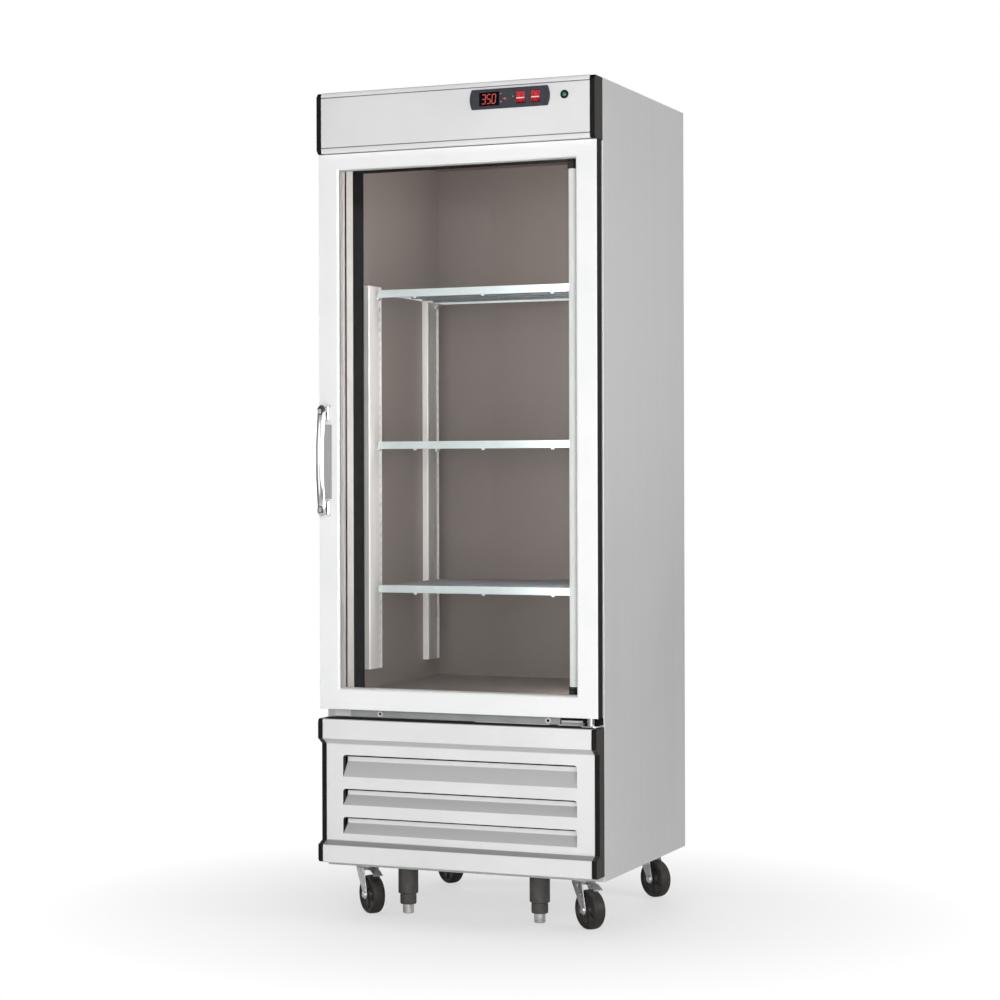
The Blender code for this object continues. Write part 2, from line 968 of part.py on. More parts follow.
def louvre_panel():
    path = grille_path()
    first, last = path[0], path[-1]
    path = [(first[0] + grille_lip, first[1])] + path + [(last[0] + grille_lip, last[1])]
    path.reverse()
    edge = cap_inner - clearance
    body = folded_sheet("X", path, -edge, edge, grille_sheet)
    obj = part("louvre_panel", body, "silver paint")
    recess = face_y + recess_depth
    half = half_width - louvre_inset
    openings = [
        prism(
            "Y",
            [rounded_rectangle(-half, half, bottom, top, louvre_corner, corners=(2, 3))],
            recess - overrun,
            recess + overrun,
        )
        for bottom, top in louvre_spans()
    ]
    boolean(obj, merged(openings), "DIFFERENCE")
    blades = []
    for bottom, top in louvre_spans():
        back = recess + louvre_depth
        blade = [
            (back, top - louvre_slot),
            (back, top - louvre_slot - louvre_lip),
            (recess + grille_sheet / 2, bottom - grille_sheet / 2),
        ]
        blades.append(folded_sheet("X", blade, -half + grille_sheet, half - grille_sheet, grille_sheet))
    return boolean(obj, merged(blades), "UNION")


def grille_end_cap(name, side):
    path = grille_path(cap_proud)
    outline = path + [(case_front - clearance, grille_top), (case_front - clearance, grille_bottom)]
    ends = sorted((side * cap_inner, side * half_width))
    return part(name, prism("X", [outline], *ends), "black plastic")


def sill_rail():
    """The strip under the door, with two round caps over its screws."""
    bottom = grille_top + clearance + (door_gap_below - rail_height) / 2
    front = case_front - rail_depth
    obj = part(
        "sill_rail",
        box(
            (-half_width + rail_left_inset, front, bottom),
            (half_width - rail_right_inset, case_front - clearance, bottom + rail_height),
        ),
        "silver paint",
    )
    caps = [
        cylinder("Y", (across, bottom + rail_height / 2), rail_cap_radius, front - rail_cap_proud, front + rail_cap_proud)
        for across in (-half_width + rail_cap_left_inset, half_width - rail_cap_right_inset)
    ]
    return boolean(obj, merged(caps), "UNION")


def build_lower_front():
    louvre_panel()
    grille_end_cap("grille_end_cap_left", -1)
    grille_end_cap("grille_end_cap_right", 1)
    sill_rail()


# Hinges


def hinge_plate(bottom, right, tail):
    """A flat plate with a rounded front end round the pin, and a flange that screws to the case."""
    left = right - bracket_length
    front = hinge_y - tail
    outline = rounded_rectangle(left, right, front, case_front - clearance, bracket_round, corners=(0, 1))
    hole = circle(hinge_x, hinge_y, hinge_pin_radius + pin_clearance, small_steps)
    plate = prism("Z", [outline, hole], bottom, bottom + bracket_sheet)
    flange = box(
        (left, case_front - clearance - bracket_sheet, bottom + bracket_sheet / 2),
        (right, case_front - clearance, bottom + bracket_sheet + bracket_flange),
    )
    return combined(plate, flange, "UNION")


def hinge_pin(profile):
    mesh = turned(profile, small_steps)
    mesh.transform(Matrix.Translation((hinge_x, hinge_y, 0)))
    return mesh


def build_hinges():
    """The lower bracket and pin carry the door, the upper ones steady it."""
    lower = grille_top + bracket_lift
    right = half_width - clearance
    plate = hinge_plate(lower, right, lower_bracket_tail)
    part("lower_hinge_bracket", plate, "chrome")
    collar_bottom = lower + bracket_sheet + clearance
    profile = [
        (0, door_bottom + hinge_pin_reach),
        (hinge_pin_radius, door_bottom + hinge_pin_reach),
        (hinge_pin_radius, door_bottom - clearance),
        (hinge_collar_radius, door_bottom - clearance),
        (hinge_collar_radius, collar_bottom),
        (hinge_pin_radius, collar_bottom),
        (hinge_pin_radius, lower),
        (0, lower),
    ]
    smooth(part("lower_hinge_pin", hinge_pin(profile), "zinc plate"))
    upper = header_bottom + upper_bracket_lift
    plate = hinge_plate(upper, cap_inner - clearance, upper_bracket_tail)
    part("upper_hinge_bracket", plate, "zinc plate")
    head_bottom = upper + bracket_sheet + clearance
    profile = [
        (0, head_bottom + hinge_head),
        (hinge_collar_radius, head_bottom + hinge_head),
        (hinge_collar_radius, head_bottom),
        (hinge_pin_radius, head_bottom),
        (hinge_pin_radius, door_top - hinge_pin_reach),
        (0, door_top - hinge_pin_reach),
    ]
    smooth(part("upper_hinge_pin", hinge_pin(profile), "zinc plate"))


# Door


def door_outline(margin):
    """The rectangle of the door's opening, grown by a margin."""
    half = half_width - stile_width
    return rectangle(-half - margin, half + margin, door_bottom + bottom_rail - margin, door_top - top_rail + margin)


def door_frame(hinge):
    """The silver face frame, with a rebate behind its lip for the outer pane."""
    outer = rectangle(-door_half, door_half, door_bottom, door_top)
    ring = prism("Y", [outer, door_outline(0)], door_face, door_face + face_thickness)
    obj = part("door_frame", ring, "silver paint", parent=hinge, origin=Vector((hinge_x, hinge_y, door_bottom)))
    pocket = door_outline(glass_bite + clearance)
    back = door_face + face_thickness
    rebate = prism("Y", [pocket], back - glass_thickness - 2 * clearance, back + overrun)
    boolean(obj, rebate, "DIFFERENCE")
    return bevel(obj, face_bevel)


def door_core_frame(hinge):
    """The dark frame behind: it parts the two panes, holds the inner one with a bead, and takes the hinge pins."""
    front = door_face + face_thickness + clearance
    outer = rectangle(-door_half, door_half, door_bottom, door_top)
    ring = prism("Y", [outer, door_outline(0)], front, door_back)
    obj = part("door_core_frame", ring, "dark plastic", parent=hinge, origin=Vector((hinge_x, hinge_y, door_bottom)))
    groove = prism(
        "Y",
        [door_outline(glass_bite + clearance)],
        door_back - bead_depth - glass_thickness - 2 * clearance,
        door_back - bead_depth,
    )
    holes = [
        cylinder("Z", (hinge_x, hinge_y), hinge_pin_radius + pin_clearance, door_bottom - overrun, door_bottom + hinge_pin_reach + clearance),
        cylinder("Z", (hinge_x, hinge_y), hinge_pin_radius + pin_clearance, door_top - hinge_pin_reach - clearance, door_top + overrun),
    ]
    boolean(obj, merged([groove] + holes), "DIFFERENCE")
    spacer = prism("Y", [door_outline(overrun), door_outline(-spacer_bite)], front, front + spacer_width)
    return boolean(obj, spacer, "UNION")


def glass_pane(name, hinge, front):
    (left, bottom), _, (right, top), _ = door_outline(glass_bite)
    mesh = box((left, front, bottom), (right, front + glass_thickness, top))
    return part(name, mesh, "glass", parent=hinge, origin=Vector((hinge_x, hinge_y, door_bottom)))


def door_gasket(hinge):
    """A root that plugs onto the door's back and a wide magnetic head that meets the breaker frame."""
    inner_x = inner_half + gasket_margin
    inner_low, inner_high = deck_z - gasket_margin, opening_top + gasket_margin
    set_in = (gasket_width - gasket_root) / 2

    def ring(shrink):
        return [
            rectangle(
                -inner_x - gasket_width + shrink,
                inner_x + gasket_width - shrink,
                inner_low - gasket_width + shrink,
                inner_high + gasket_width - shrink,
            ),
            rectangle(-inner_x - shrink, inner_x + shrink, inner_low - shrink, inner_high + shrink),
        ]

    root_front = door_back + clearance
    head_front = root_front + gasket_root_depth
    root = prism("Y", ring(set_in), root_front, head_front + sheet)
    head = prism("Y", ring(0), head_front, case_front - clearance)
    mesh = combined(head, root, "UNION")
    return part("door_gasket", mesh, "rubber", parent=hinge, origin=Vector((hinge_x, hinge_y, door_bottom)))


def door_handle(hinge):
    """A chrome bow between two square feet, on a flat back plate."""
    middle = base_z + handle_middle
    half = handle_length / 2 - handle_foot_height / 2
    foot_front = door_face - clearance - handle_foot_depth
    crest = door_face - handle_reach + handle_radius
    points = []
    for share in (0, 0.15, 0.4, 0.7, 1):
        angle = math.radians(90 * share)
        points.append(
            Vector(
                (
                    -handle_x,
                    foot_front + handle_radius + (crest - foot_front - handle_radius) * math.sin(angle),
                    middle - half + handle_shoulder * (1 - math.cos(angle)),
                )
            )
        )
    upper = [Vector((point.x, point.y, 2 * middle - point.z)) for point in reversed(points)]
    bow = tube(points + upper, handle_radius)
    feet = []
    for end in (middle - half, middle + half):
        foot = scratch(
            box(
                (-handle_x - handle_foot / 2, foot_front, end - handle_foot_height / 2),
                (-handle_x + handle_foot / 2, door_face - clearance, end + handle_foot_height / 2),
            )
        )
        feet.append(evaluated_mesh(bevel(foot, handle_foot_bevel)))
    plate = box(
        (-handle_x - plate_width / 2, door_face - clearance - plate_thickness, middle - half),
        (-handle_x + plate_width / 2, door_face - clearance, middle + half),
    )
    mesh = combined(bow, merged(feet + [plate]), "UNION", overlapping=True)
    return smooth(part("door_handle", mesh, "chrome", parent=hinge, origin=Vector((hinge_x, hinge_y, door_bottom))))


def build_door():
    hinge = pivot("door_hinge_axis", Vector((hinge_x, hinge_y, door_bottom)))
    door_frame(hinge)
    door_core_frame(hinge)
    outer_front = door_face + face_thickness - glass_thickness - clearance
    inner_front = door_back - bead_depth - glass_thickness - clearance
    glass_pane("glass_outer_pane", hinge, outer_front)
    glass_pane("glass_inner_pane", hinge, inner_front)
    door_gasket(hinge)
    door_handle(hinge)


# Inside: pilasters, shelves and the lamp post


def pilaster(name, side, front):
    """A slotted channel on the side wall, with a clip for each shelf hooked into it."""
    wall = side * (inner_half - clearance)
    proud = side * (inner_half - pilaster_proud)
    back = front + pilaster_width
    path = [(wall, front), (proud, front), (proud, back), (wall, back)]
    if side > 0:
        path.reverse()
    bottom, top = deck_z + pilaster_bottom, deck_z + pilaster_top
    mesh = folded_sheet("Z", path, bottom, top, pilaster_sheet)
    obj = part(name, mesh, "galvanised")
    slots = []
    count = int((top - bottom - slot_pitch) / slot_pitch)
    slot_middle = back - slot_edge
    for number in range(count):
        low = bottom + slot_pitch * (number + 0.5)
        slots.append(
            box(
                (proud - overrun, slot_middle - slot_width / 2, low),
                (proud + overrun, slot_middle + slot_width / 2, low + slot_height),
            )
        )
    boolean(obj, merged(slots), "DIFFERENCE")
    clips = []
    for height in shelf_heights:
        under_rod = shelf_rod_z(height) - rod_radius - clearance
        ends = sorted((proud + side * pilaster_sheet / 2, proud - side * clip_reach))
        clips.append(
            box(
                (ends[0], slot_middle - clip_width, under_rod - clip_height),
                (ends[1], slot_middle, under_rod),
            )
        )
    return boolean(obj, merged(clips), "UNION")


def shelf_rod_z(height):
    """The middle of a shelf's frame rod, which its deck wires lie in from above."""
    return deck_z + height - wire_radius - rod_radius


def wire_shelf(name, height):
    """Deck wires from front to back on a frame of thicker rod, with a second wire under the front edge."""
    half = inner_half - pilaster_proud - shelf_side_gap - rod_radius
    front = case_front + shelf_front
    back = liner_back - shelf_back
    wire_z = deck_z + height - wire_radius
    rod_z = shelf_rod_z(height)
    corners = [(-half, front, rod_z), (half, front, rod_z), (half, back, rod_z), (-half, back, rod_z)]
    obj = part(name, tube(corners, rod_radius, closed=True), "coated wire")
    rods = []
    spacing = (back - front) / (cross_rods + 1)
    for number in range(cross_rods):
        along = front + spacing * (number + 1)
        rods.append(tube([(-half, along, rod_z), (half, along, rod_z)], cross_radius))
    lower_z = rod_z - rail_drop
    reach = half - rail_drop
    guard = [(-reach, front, rod_z), (-reach, front, lower_z), (reach, front, lower_z), (reach, front, rod_z)]
    rods.append(tube(guard, wire_radius, 1))
    for share in guard_link_shares:
        rods.append(tube([(reach * share, front, rod_z), (reach * share, front, lower_z)], link_radius, 0))
    count = int(2 * half / wire_pitch)
    first = -wire_pitch * (count - 1) / 2
    for number in range(count):
        across = first + wire_pitch * number
        ends = [(across, front - wire_radius / 2, wire_z), (across, back + wire_radius / 2, wire_z)]
        rods.append(tube(ends, wire_radius, 0))
    return smooth(boolean(obj, merged(rods), "UNION", overlapping=True))


def lamp_post():
    """A lamp between two holders, from the sill to the lintel."""
    bottom, top = deck_z + breaker_wall + 2 * clearance, opening_top - breaker_wall - 2 * clearance
    back = case_front + post_setback + post_depth
    outline = rounded_rectangle(
        post_x - post_width / 2, post_x + post_width / 2, case_front + post_setback, back, post_round, corners=(0, 1)
    )
    mesh = prism("Z", [outline], bottom + post_holder / 2, top - post_holder / 2)
    obj = part("lamp_post", mesh, "lamp diffuser")
    holders = [
        box(
            (
                post_x - post_width / 2 - post_holder_wall,
                case_front + post_setback - post_holder_wall,
                low,
            ),
            (post_x + post_width / 2 + post_holder_wall, back + post_holder_wall, low + post_holder),
        )
        for low in (bottom, top - post_holder)
    ]
    return boolean(obj, merged(holders), "UNION")


def build_inside():
    fronts = {"front": case_front + pilaster_front, "rear": liner_back - pilaster_rear - pilaster_width}
    for end, front in fronts.items():
        pilaster(f"pilaster_{end}_left", -1, front)
        pilaster(f"pilaster_{end}_right", 1, front)
    for name, height in zip(("shelf_bottom", "shelf_middle", "shelf_top"), shelf_heights):
        wire_shelf(name, height)
    lamp_post()


# Fans and finned coils


def fan_blades(radius, hub_radius, pitch, blades):
    """Pitched blades on a hub, round local Z."""
    hub = cylinder("Z", (0, 0), hub_radius, -fan_hub_length / 2, fan_hub_length / 2, round_steps)
    made = []
    for number in range(blades):
        sheet_mesh = bpy.data.meshes.new("blade")
        bm = bmesh.new()
        bmesh.ops.create_grid(bm, x_segments=3, y_segments=2, size=1.0)
        for vertex in bm.verts:
            out, along = (vertex.co.x + 1) / 2, vertex.co.y
            reach = hub_radius * 0.8 + (radius - hub_radius * 0.8) * out
            spread = math.radians(24) * along * (0.7 + 0.3 * out) + math.radians(12) * out * out
            vertex.co = (reach * math.cos(spread), reach * math.sin(spread), pitch / 2 * along * (1 - 0.4 * out))
        bm.to_mesh(sheet_mesh)
        bm.free()
        blade = scratch(sheet_mesh)
        blade.rotation_euler = (0, 0, math.tau * number / blades)
        solidify = blade.modifiers.new("thickness", "SOLIDIFY")
        solidify.thickness = fan_blade_sheet
        solidify.offset = 0
        made.append(evaluated_mesh(blade))
    return combined(hub, merged(made), "UNION")


def finned_coil(width, depth, core, height, pitch):
    """A bank of fins, its tubes filled in as a core, round the origin and up from it."""
    count = int(width / pitch)
    fins = []
    for number in range(count):
        middle = pitch * (number - (count - 1) / 2)
        fins.append(box((middle - fin_width / 2, -depth / 2, 0), (middle + fin_width / 2, depth / 2, height)))
    bank = box((-width / 2, -core / 2, sheet), (width / 2, core / 2, height - sheet))
    return combined(bank, merged(fins), "UNION")


def return_bends(axis_x, centre_y, heights):
    """U bends of the tubes, out of one end of a coil, over pairs of heights."""
    side = 1 if axis_x > 0 else -1
    bends = []
    for height in heights:
        points = [(axis_x - side * bend_spacing / 2, centre_y, height - bend_spacing / 2)]
        for step in range(4):
            angle = math.radians(-90 + 60 * step)
            points.append(
                (
                    axis_x + side * bend_spacing / 2 * math.cos(angle),
                    centre_y,
                    height + bend_spacing / 2 * math.sin(angle),
                )
            )
        points.append((axis_x - side * bend_spacing / 2, centre_y, height + bend_spacing / 2))
        bends.append(tube(points, bend_radius, 0))
    return bends


def motor_with_arms(hole_radius, plane_gap, arms, sheet_thickness):
    """A fan motor on local Z, with arms out to the edge of the fan's hole. The plane of the arms is at zero."""
    motor = cylinder("Z", (0, 0), motor_radius, plane_gap, plane_gap + motor_length, round_steps)
    pieces = []
    for number in range(arms):
        arm = box((0, -arm_width / 2, plane_gap), (hole_radius + arm_width, arm_width / 2, plane_gap + sheet_thickness))
        post = box(
            (hole_radius + sheet, -arm_width / 3, -sheet_thickness / 2),
            (hole_radius + arm_width - sheet, arm_width / 3, plane_gap + sheet_thickness / 2),
        )
        turn = Matrix.Rotation(math.tau * (number + 0.5) / arms, 4, "Z")
        pieces += [moved(arm, turn), moved(post, turn)]
    return combined(motor, merged(pieces), "UNION", overlapping=True)


def build_evaporator():
    """A tray under the ceiling with a fan in its front half and the coil behind it."""
    tray_z = ceiling_z - evaporator_space
    edge = inner_half - tray_gap
    front, back = lintel_back + tray_gap, liner_back - tray_gap
    fan_y = front + evaporator_fan_setback
    hole_radius = evaporator_fan_radius + fan_tip_gap
    fan_z = tray_z + fan_hub_length / 2
    tray = prism("Z", [rectangle(-edge, edge, front, back), circle(0, fan_y, hole_radius)], tray_z, tray_z + tray_sheet)
    rim_outlines = [
        rectangle(-edge, edge, front, back),
        rectangle(-edge + tray_sheet, edge - tray_sheet, front + tray_sheet, back - tray_sheet),
    ]
    rim = prism("Z", rim_outlines, tray_z + tray_sheet / 2, ceiling_z - clearance)
    motor = motor_with_arms(hole_radius, fan_hub_length + clearance, 3, tray_sheet)
    motor.transform(Matrix.Translation((0, fan_y, tray_z + tray_sheet)))
    obj = part("evaporator_cover", combined(combined(tray, rim, "UNION"), motor, "UNION"), "galvanised")
    slots = [
        box(
            (-edge + intake_inset, front - overrun, tray_z + level),
            (edge - intake_inset, front + tray_sheet + overrun, tray_z + level + intake_height),
        )
        for level in (intake_height, 3 * intake_height)
    ]
    boolean(obj, merged(slots), "DIFFERENCE")
    fan = fan_blades(evaporator_fan_radius, fan_hub_radius, fan_blade_pitch, 5)
    hub = Vector((0, fan_y, fan_z + tray_sheet))
    fan.transform(Matrix.Translation(hub))
    part("evaporator_fan", fan, "black plastic", origin=hub)
    coil_y = back - coil_margin - evaporator_coil_depth / 2
    coil_low = tray_z + tray_sheet + clearance
    width = 2 * (edge - coil_margin)
    coil = finned_coil(width, evaporator_coil_depth, evaporator_core, evaporator_coil_height, evaporator_fin_pitch)
    coil.transform(Matrix.Translation((0, coil_y, coil_low)))
    bends = []
    for number in range(3):
        shift = (number - 1) * bend_spacing * 1.6
        for end in (-width / 2, width / 2):
            bends += return_bends(end, coil_y + shift, [coil_low + evaporator_coil_height / 2])
    part("evaporator_coil", combined(coil, merged(bends), "UNION"), "aluminium fins")


def build_condensing_unit():
    """Behind the louvres: the coil, the fan in its housing, and the compressor on the base."""
    floor = base_z + base_sheet + clearance
    front = case_front + condenser_setback
    coil_y = front + condenser_depth / 2
    coil = finned_coil(condenser_width, condenser_depth, condenser_core, condenser_height, condenser_fin_pitch)
    coil.transform(Matrix.Translation((0, coil_y, floor + condenser_lift)))
    heights = [floor + condenser_lift + bend_spacing * (1.5 + 2.5 * number) for number in range(4)]
    bends = return_bends(condenser_width / 2, coil_y, heights)
    feet = [
        box(
            (end - coil_foot / 2, coil_y - condenser_core / 2 + sheet, floor),
            (end + coil_foot / 2, coil_y + condenser_core / 2 - sheet, floor + condenser_lift + overrun),
        )
        for end in (-condenser_width / 3, condenser_width / 3)
    ]
    obj = part("condenser_coil", combined(coil, merged(bends + feet), "UNION"), "aluminium fins")
    fan_z = floor + condenser_lift + condenser_height / 2
    shroud_front = front + condenser_depth + clearance
    half = condenser_width / 2
    hole_radius = condenser_fan_radius + fan_tip_gap
    plate_outlines = [
        rectangle(-half, half, floor, floor + condenser_lift + condenser_height),
        circle(0, fan_z, hole_radius),
    ]
    plate = prism("Y", plate_outlines, shroud_front, shroud_front + shroud_sheet)
    collar = prism(
        "Y",
        [circle(0, fan_z, hole_radius + shroud_sheet), circle(0, fan_z, hole_radius)],
        shroud_front + shroud_sheet / 2,
        shroud_front + shroud_depth,
    )
    motor = motor_with_arms(hole_radius, fan_hub_length + clearance, 4, shroud_sheet)
    turn = Matrix.Rotation(math.radians(-90), 4, "X")
    motor.transform(Matrix.Translation((0, shroud_front + shroud_sheet, fan_z)) @ turn)
    housing = combined(combined(plate, collar, "UNION"), motor, "UNION")
    part("condenser_fan_housing", housing, "black plastic")
    fan = fan_blades(condenser_fan_radius, fan_hub_radius, fan_blade_pitch, 5)
    hub = Vector((0, shroud_front + shroud_sheet + fan_hub_length / 2, fan_z))
    fan.transform(Matrix.Translation(hub) @ turn)
    part("condenser_fan", fan, "aluminium fins", origin=hub)
    compressor(floor)
    return obj


def compressor(floor):
    """A welded steel shell with a seam round its middle, on a stamped plate, with two pipe stubs."""
    lift = compressor_plate_sheet + overrun
    radius, height = compressor_radius, compressor_height
    profile = [(0, height)]
    for step in range(1, 5):
        angle = math.radians(90 - 22.5 * step)
        profile.append((radius * math.cos(angle) * 0.97, height * 0.68 + height * 0.32 * math.sin(angle)))
    seam = height * 0.45
    profile += [
        (radius * 0.97, seam + overrun),
        (radius, seam + overrun),
        (radius, seam - overrun),
        (radius * 0.97, seam - overrun),
        (radius * 0.97, height * 0.15),
        (radius * 0.7, 0),
        (0, 0),
    ]
    shell = turned(profile, round_steps)
    shell.transform(Matrix.Translation((0, 0, lift - sheet)))
    half = compressor_plate / 2
    feet = prism(
        "Z",
        [rounded_rectangle(-half, half, -half, half, half / 4)],
        overrun,
        lift,
    )
    grommets = [cylinder("Z", (x * half * 0.75, y * half * 0.75), half / 8, 0, lift + overrun, 6) for x in (-1, 1) for y in (-1, 1)]
    stub = tube(
        [
            (0, 0, height * 0.6),
            (radius * 1.15, 0, height * 0.6),
            (radius * 1.3, 0, height * 0.66),
            (radius * 1.35, 0, height * 0.95),
        ],
        bend_radius,
        0,
    )
    second = moved(stub, Matrix.Rotation(math.radians(150), 4, "Z"))
    shell = combined(shell, merged([feet] + grommets + [stub, second]), "UNION", overlapping=True)
    shell.transform(Matrix.Translation((0, case_front + compressor_setback, floor)))
    return smooth(part("compressor", shell, "black plastic"))


def rear_grille():
    """The cover behind the machine space, with rows of slots and a gland for the mains lead."""
    edge = half_width - sheet - clearance
    bottom = base_z + base_sheet
    top = machine_ceiling - clearance
    outlines = [rectangle(-edge, edge, bottom, top)]
    middle = (bottom + top) / 2
    column_pitch = vent_length + 2 * vent_height
    for column in range(vent_columns):
        across = (column - (vent_columns - 1) / 2) * column_pitch
        for row in range(vent_rows):
            up = middle + (row - (vent_rows - 1) / 2) * vent_pitch
            outlines.append(
                rectangle(
                    across - vent_length / 2,
                    across + vent_length / 2,
                    up - vent_height / 2,
                    up + vent_height / 2,
                )
            )
    outlines.append(circle(gland_x, base_z + gland_z, gland_bore, small_steps))
    plate = prism("Y", outlines, case_back - sheet - clearance, case_back - clearance)
    gland = prism(
        "Y",
        [
            circle(gland_x, base_z + gland_z, gland_radius, small_steps),
            circle(gland_x, base_z + gland_z, gland_bore, small_steps),
        ],
        case_back - sheet - clearance - gland_length,
        case_back - clearance - sheet / 2,
    )
    return part("rear_grille", combined(plate, gland, "UNION"), "galvanised")


# Base, casters and legs


def caster_places():
    front, rear = case_front + front_caster, case_back - rear_caster
    return {
        "front_left": Vector((-caster_x, front, base_z)),
        "front_right": Vector((caster_x, front, base_z)),
        "rear_left": Vector((-caster_x, rear, base_z)),
        "rear_right": Vector((caster_x, rear, base_z)),
    }


def base_frame():
    """A pan with its edges turned up, and the four caster plates with their bearing races under it."""
    edge = half_width - sheet - clearance
    front, back = case_front + sheet + clearance, case_back - sheet - 2 * clearance
    floor = box((-edge, front, base_z), (edge, back, base_z + base_sheet))
    rim = prism(
        "Z",
        [
            rectangle(-edge, edge, front, back),
            rectangle(-edge + base_sheet, edge - base_sheet, front + base_sheet, back - base_sheet),
        ],
        base_z + base_sheet / 2,
        base_z + base_flange,
    )
    # The rear edge stays low, so that the vented cover reaches down to the pan
    notch = box(
        (-edge - overrun, back - base_sheet - overrun, base_z + base_sheet),
        (edge + overrun, back + overrun, base_z + base_flange + overrun),
    )
    pan = combined(combined(floor, rim, "UNION"), notch, "DIFFERENCE")
    obj = part("base_frame", pan, "galvanised")
    plates = []
    half = caster_plate / 2
    for middle in caster_places().values():
        low = base_z - caster_plate_sheet
        plates.append(
            prism(
                "Z",
                [rounded_rectangle(middle.x - half, middle.x + half, middle.y - half, middle.y + half, half / 4, 2)],
                low,
                base_z + base_sheet / 4,
            )
        )
        plates.append(
            cylinder("Z", (middle.x, middle.y), race_radius, low - race_height, base_z + base_sheet / 2, round_steps)
        )
    return boolean(obj, merged(plates), "UNION", overlapping=True)


def fork_mesh(axle_drop):
    """Round top, two cheeks down to the axle and the bolt through them. The swivel axis is local Z."""
    top = -caster_plate_sheet - race_height - clearance
    inner = wheel_width / 2 + fork_gap
    cap = cylinder("Z", (0, 0), fork_top_radius, top - fork_sheet, top, round_steps)
    cheek = [
        (-fork_top_radius * 0.75, top - fork_sheet),
        (-fork_top_radius * 0.75, top),
        (fork_top_radius * 0.9, top),
        (caster_trail + fork_cheek, -axle_drop + fork_cheek * 0.5),
    ]
    for step in range(5):
        angle = math.radians(-45 * step)
        cheek.append(
            (caster_trail + fork_cheek * math.cos(angle), -axle_drop + fork_cheek * math.sin(angle))
        )
    cheeks = [
        prism("Y", [cheek], inner, inner + fork_sheet),
        prism("Y", [cheek], -inner - fork_sheet, -inner),
    ]
    # The crown spreads the round top out to the cheeks
    crown = box(
        (-fork_top_radius * 0.75, -inner - fork_sheet, top - fork_sheet),
        (fork_top_radius * 0.75, inner + fork_sheet, top),
    )
    reach = inner + fork_sheet
    bolt = cylinder("Y", (caster_trail, -axle_drop), axle_radius, -reach - fork_sheet, reach + fork_sheet)
    heads = [
        cylinder("Y", (caster_trail, -axle_drop), axle_head, reach - fork_sheet / 2, reach + fork_sheet * 2, 6),
        cylinder("Y", (caster_trail, -axle_drop), axle_head, -reach - fork_sheet * 2, -reach + fork_sheet / 2, 6),
    ]
    return combined(cap, merged(cheeks + [crown, bolt] + heads), "UNION", overlapping=True)


def wheel_mesh():
    """A crowned tread, a dished side and a hub with its bore, round local Z."""
    half = wheel_width / 2
    bore = axle_radius + clearance
    upper = [
        (bore, half),
        (hub_radius, half),
        (hub_radius, half - wheel_dish),
        (wheel_radius - wheel_rim, half - wheel_dish),
        (wheel_radius - wheel_rim, half),
        (wheel_radius - wheel_crown, half),
        (wheel_radius, half - wheel_crown),
    ]
    lower = [(radius, -height) for radius, height in reversed(upper)]
    mesh = turned(upper + lower, wheel_steps, closed=True)
    mesh.transform(Matrix.Rotation(math.pi / wheel_steps, 4, "Z"))
    return mesh


def pedal_axis():
    """The middle of the pedal's barrel, just under the fork's round top."""
    under_top = -caster_plate_sheet - race_height - clearance - fork_sheet
    return Vector((fork_top_radius * 0.75, 0, under_top - clearance - pedal_barrel))


def pedal_mesh():
    """A bent pedal over the wheel, on a barrel that turns between the fork's cheeks."""
    axis = pedal_axis()
    level = axis.z + pedal_sheet / 2
    path = [
        (axis.x + pedal_reach, level - pedal_fall),
        (axis.x + pedal_reach * 0.55, level),
        (axis.x, level),
    ]
    plate = folded_sheet("Y", path, -pedal_width / 2, pedal_width / 2, pedal_sheet)
    reach = wheel_width / 2 + fork_gap - clearance
    barrel = cylinder("Y", (axis.x, axis.z), pedal_barrel, -reach, reach)
    return combined(plate, barrel, "UNION")


def build_casters():
    """Four swivel casters, the front two with a brake pedal."""
    axle_drop = base_z - wheel_radius * math.cos(math.pi / wheel_steps)
    fork = fork_mesh(axle_drop)
    wheel = wheel_mesh()
    wheel.transform(
        Matrix.Translation((caster_trail, 0, -axle_drop)) @ Matrix.Rotation(math.radians(90), 4, "X")
    )
    pedal = pedal_mesh()
    for name, middle in caster_places().items():
        swivel = pivot(f"swivel_{name}", middle, caster_turns[name])
        pieces = [
            (f"caster_fork_{name}", fork, "zinc plate", Vector((0, 0, 0))),
            (f"caster_wheel_{name}", wheel, "tyre", Vector((caster_trail, 0, -axle_drop))),
        ]
        if name.startswith("front"):
            pieces.append((f"brake_pedal_{name}", pedal, "zinc plate", pedal_axis()))
        for piece, mesh, finish, origin in pieces:
            obj = part(piece, mesh.copy(), finish, origin=origin)
            obj.parent = swivel
            smooth(obj)


def build_legs():
    """Two adjustable legs behind the front edge, each with a foot that screws out of it."""
    body_length = leg_flange + leg_upper + leg_lower
    profile = [
        (leg_bore, -clearance - sheet),
        (leg_flange_radius, -clearance),
        (leg_flange_radius, -leg_flange),
        (leg_radius, -leg_flange),
        (leg_radius, -leg_flange - leg_upper),
        (leg_step_radius, -leg_flange - leg_upper - sheet),
        (leg_step_radius, -body_length),
        (leg_bore, -body_length),
    ]
    body = turned(profile, round_steps, closed=True)
    foot_top = -body_length - clearance
    foot_profile = [
        (0, foot_top + foot_shank_length),
        (foot_shank, foot_top + foot_shank_length),
        (foot_shank, foot_top),
        (foot_radius, foot_top),
        (foot_radius, foot_top - foot_height + sheet),
        (foot_radius - sheet, foot_top - foot_height),
        (0, foot_top - foot_height),
    ]
    foot = turned(foot_profile, round_steps)
    for name, side in (("left", -1), ("right", 1)):
        middle = Vector((side * leg_x, case_front + leg_setback, base_z))
        for piece, mesh, finish in ((f"leg_body_{name}", body, "dark plastic"), (f"leg_foot_{name}", foot, "light grey plastic")):
            obj = part(piece, mesh.copy(), finish)
            obj.location = middle
            smooth(obj)


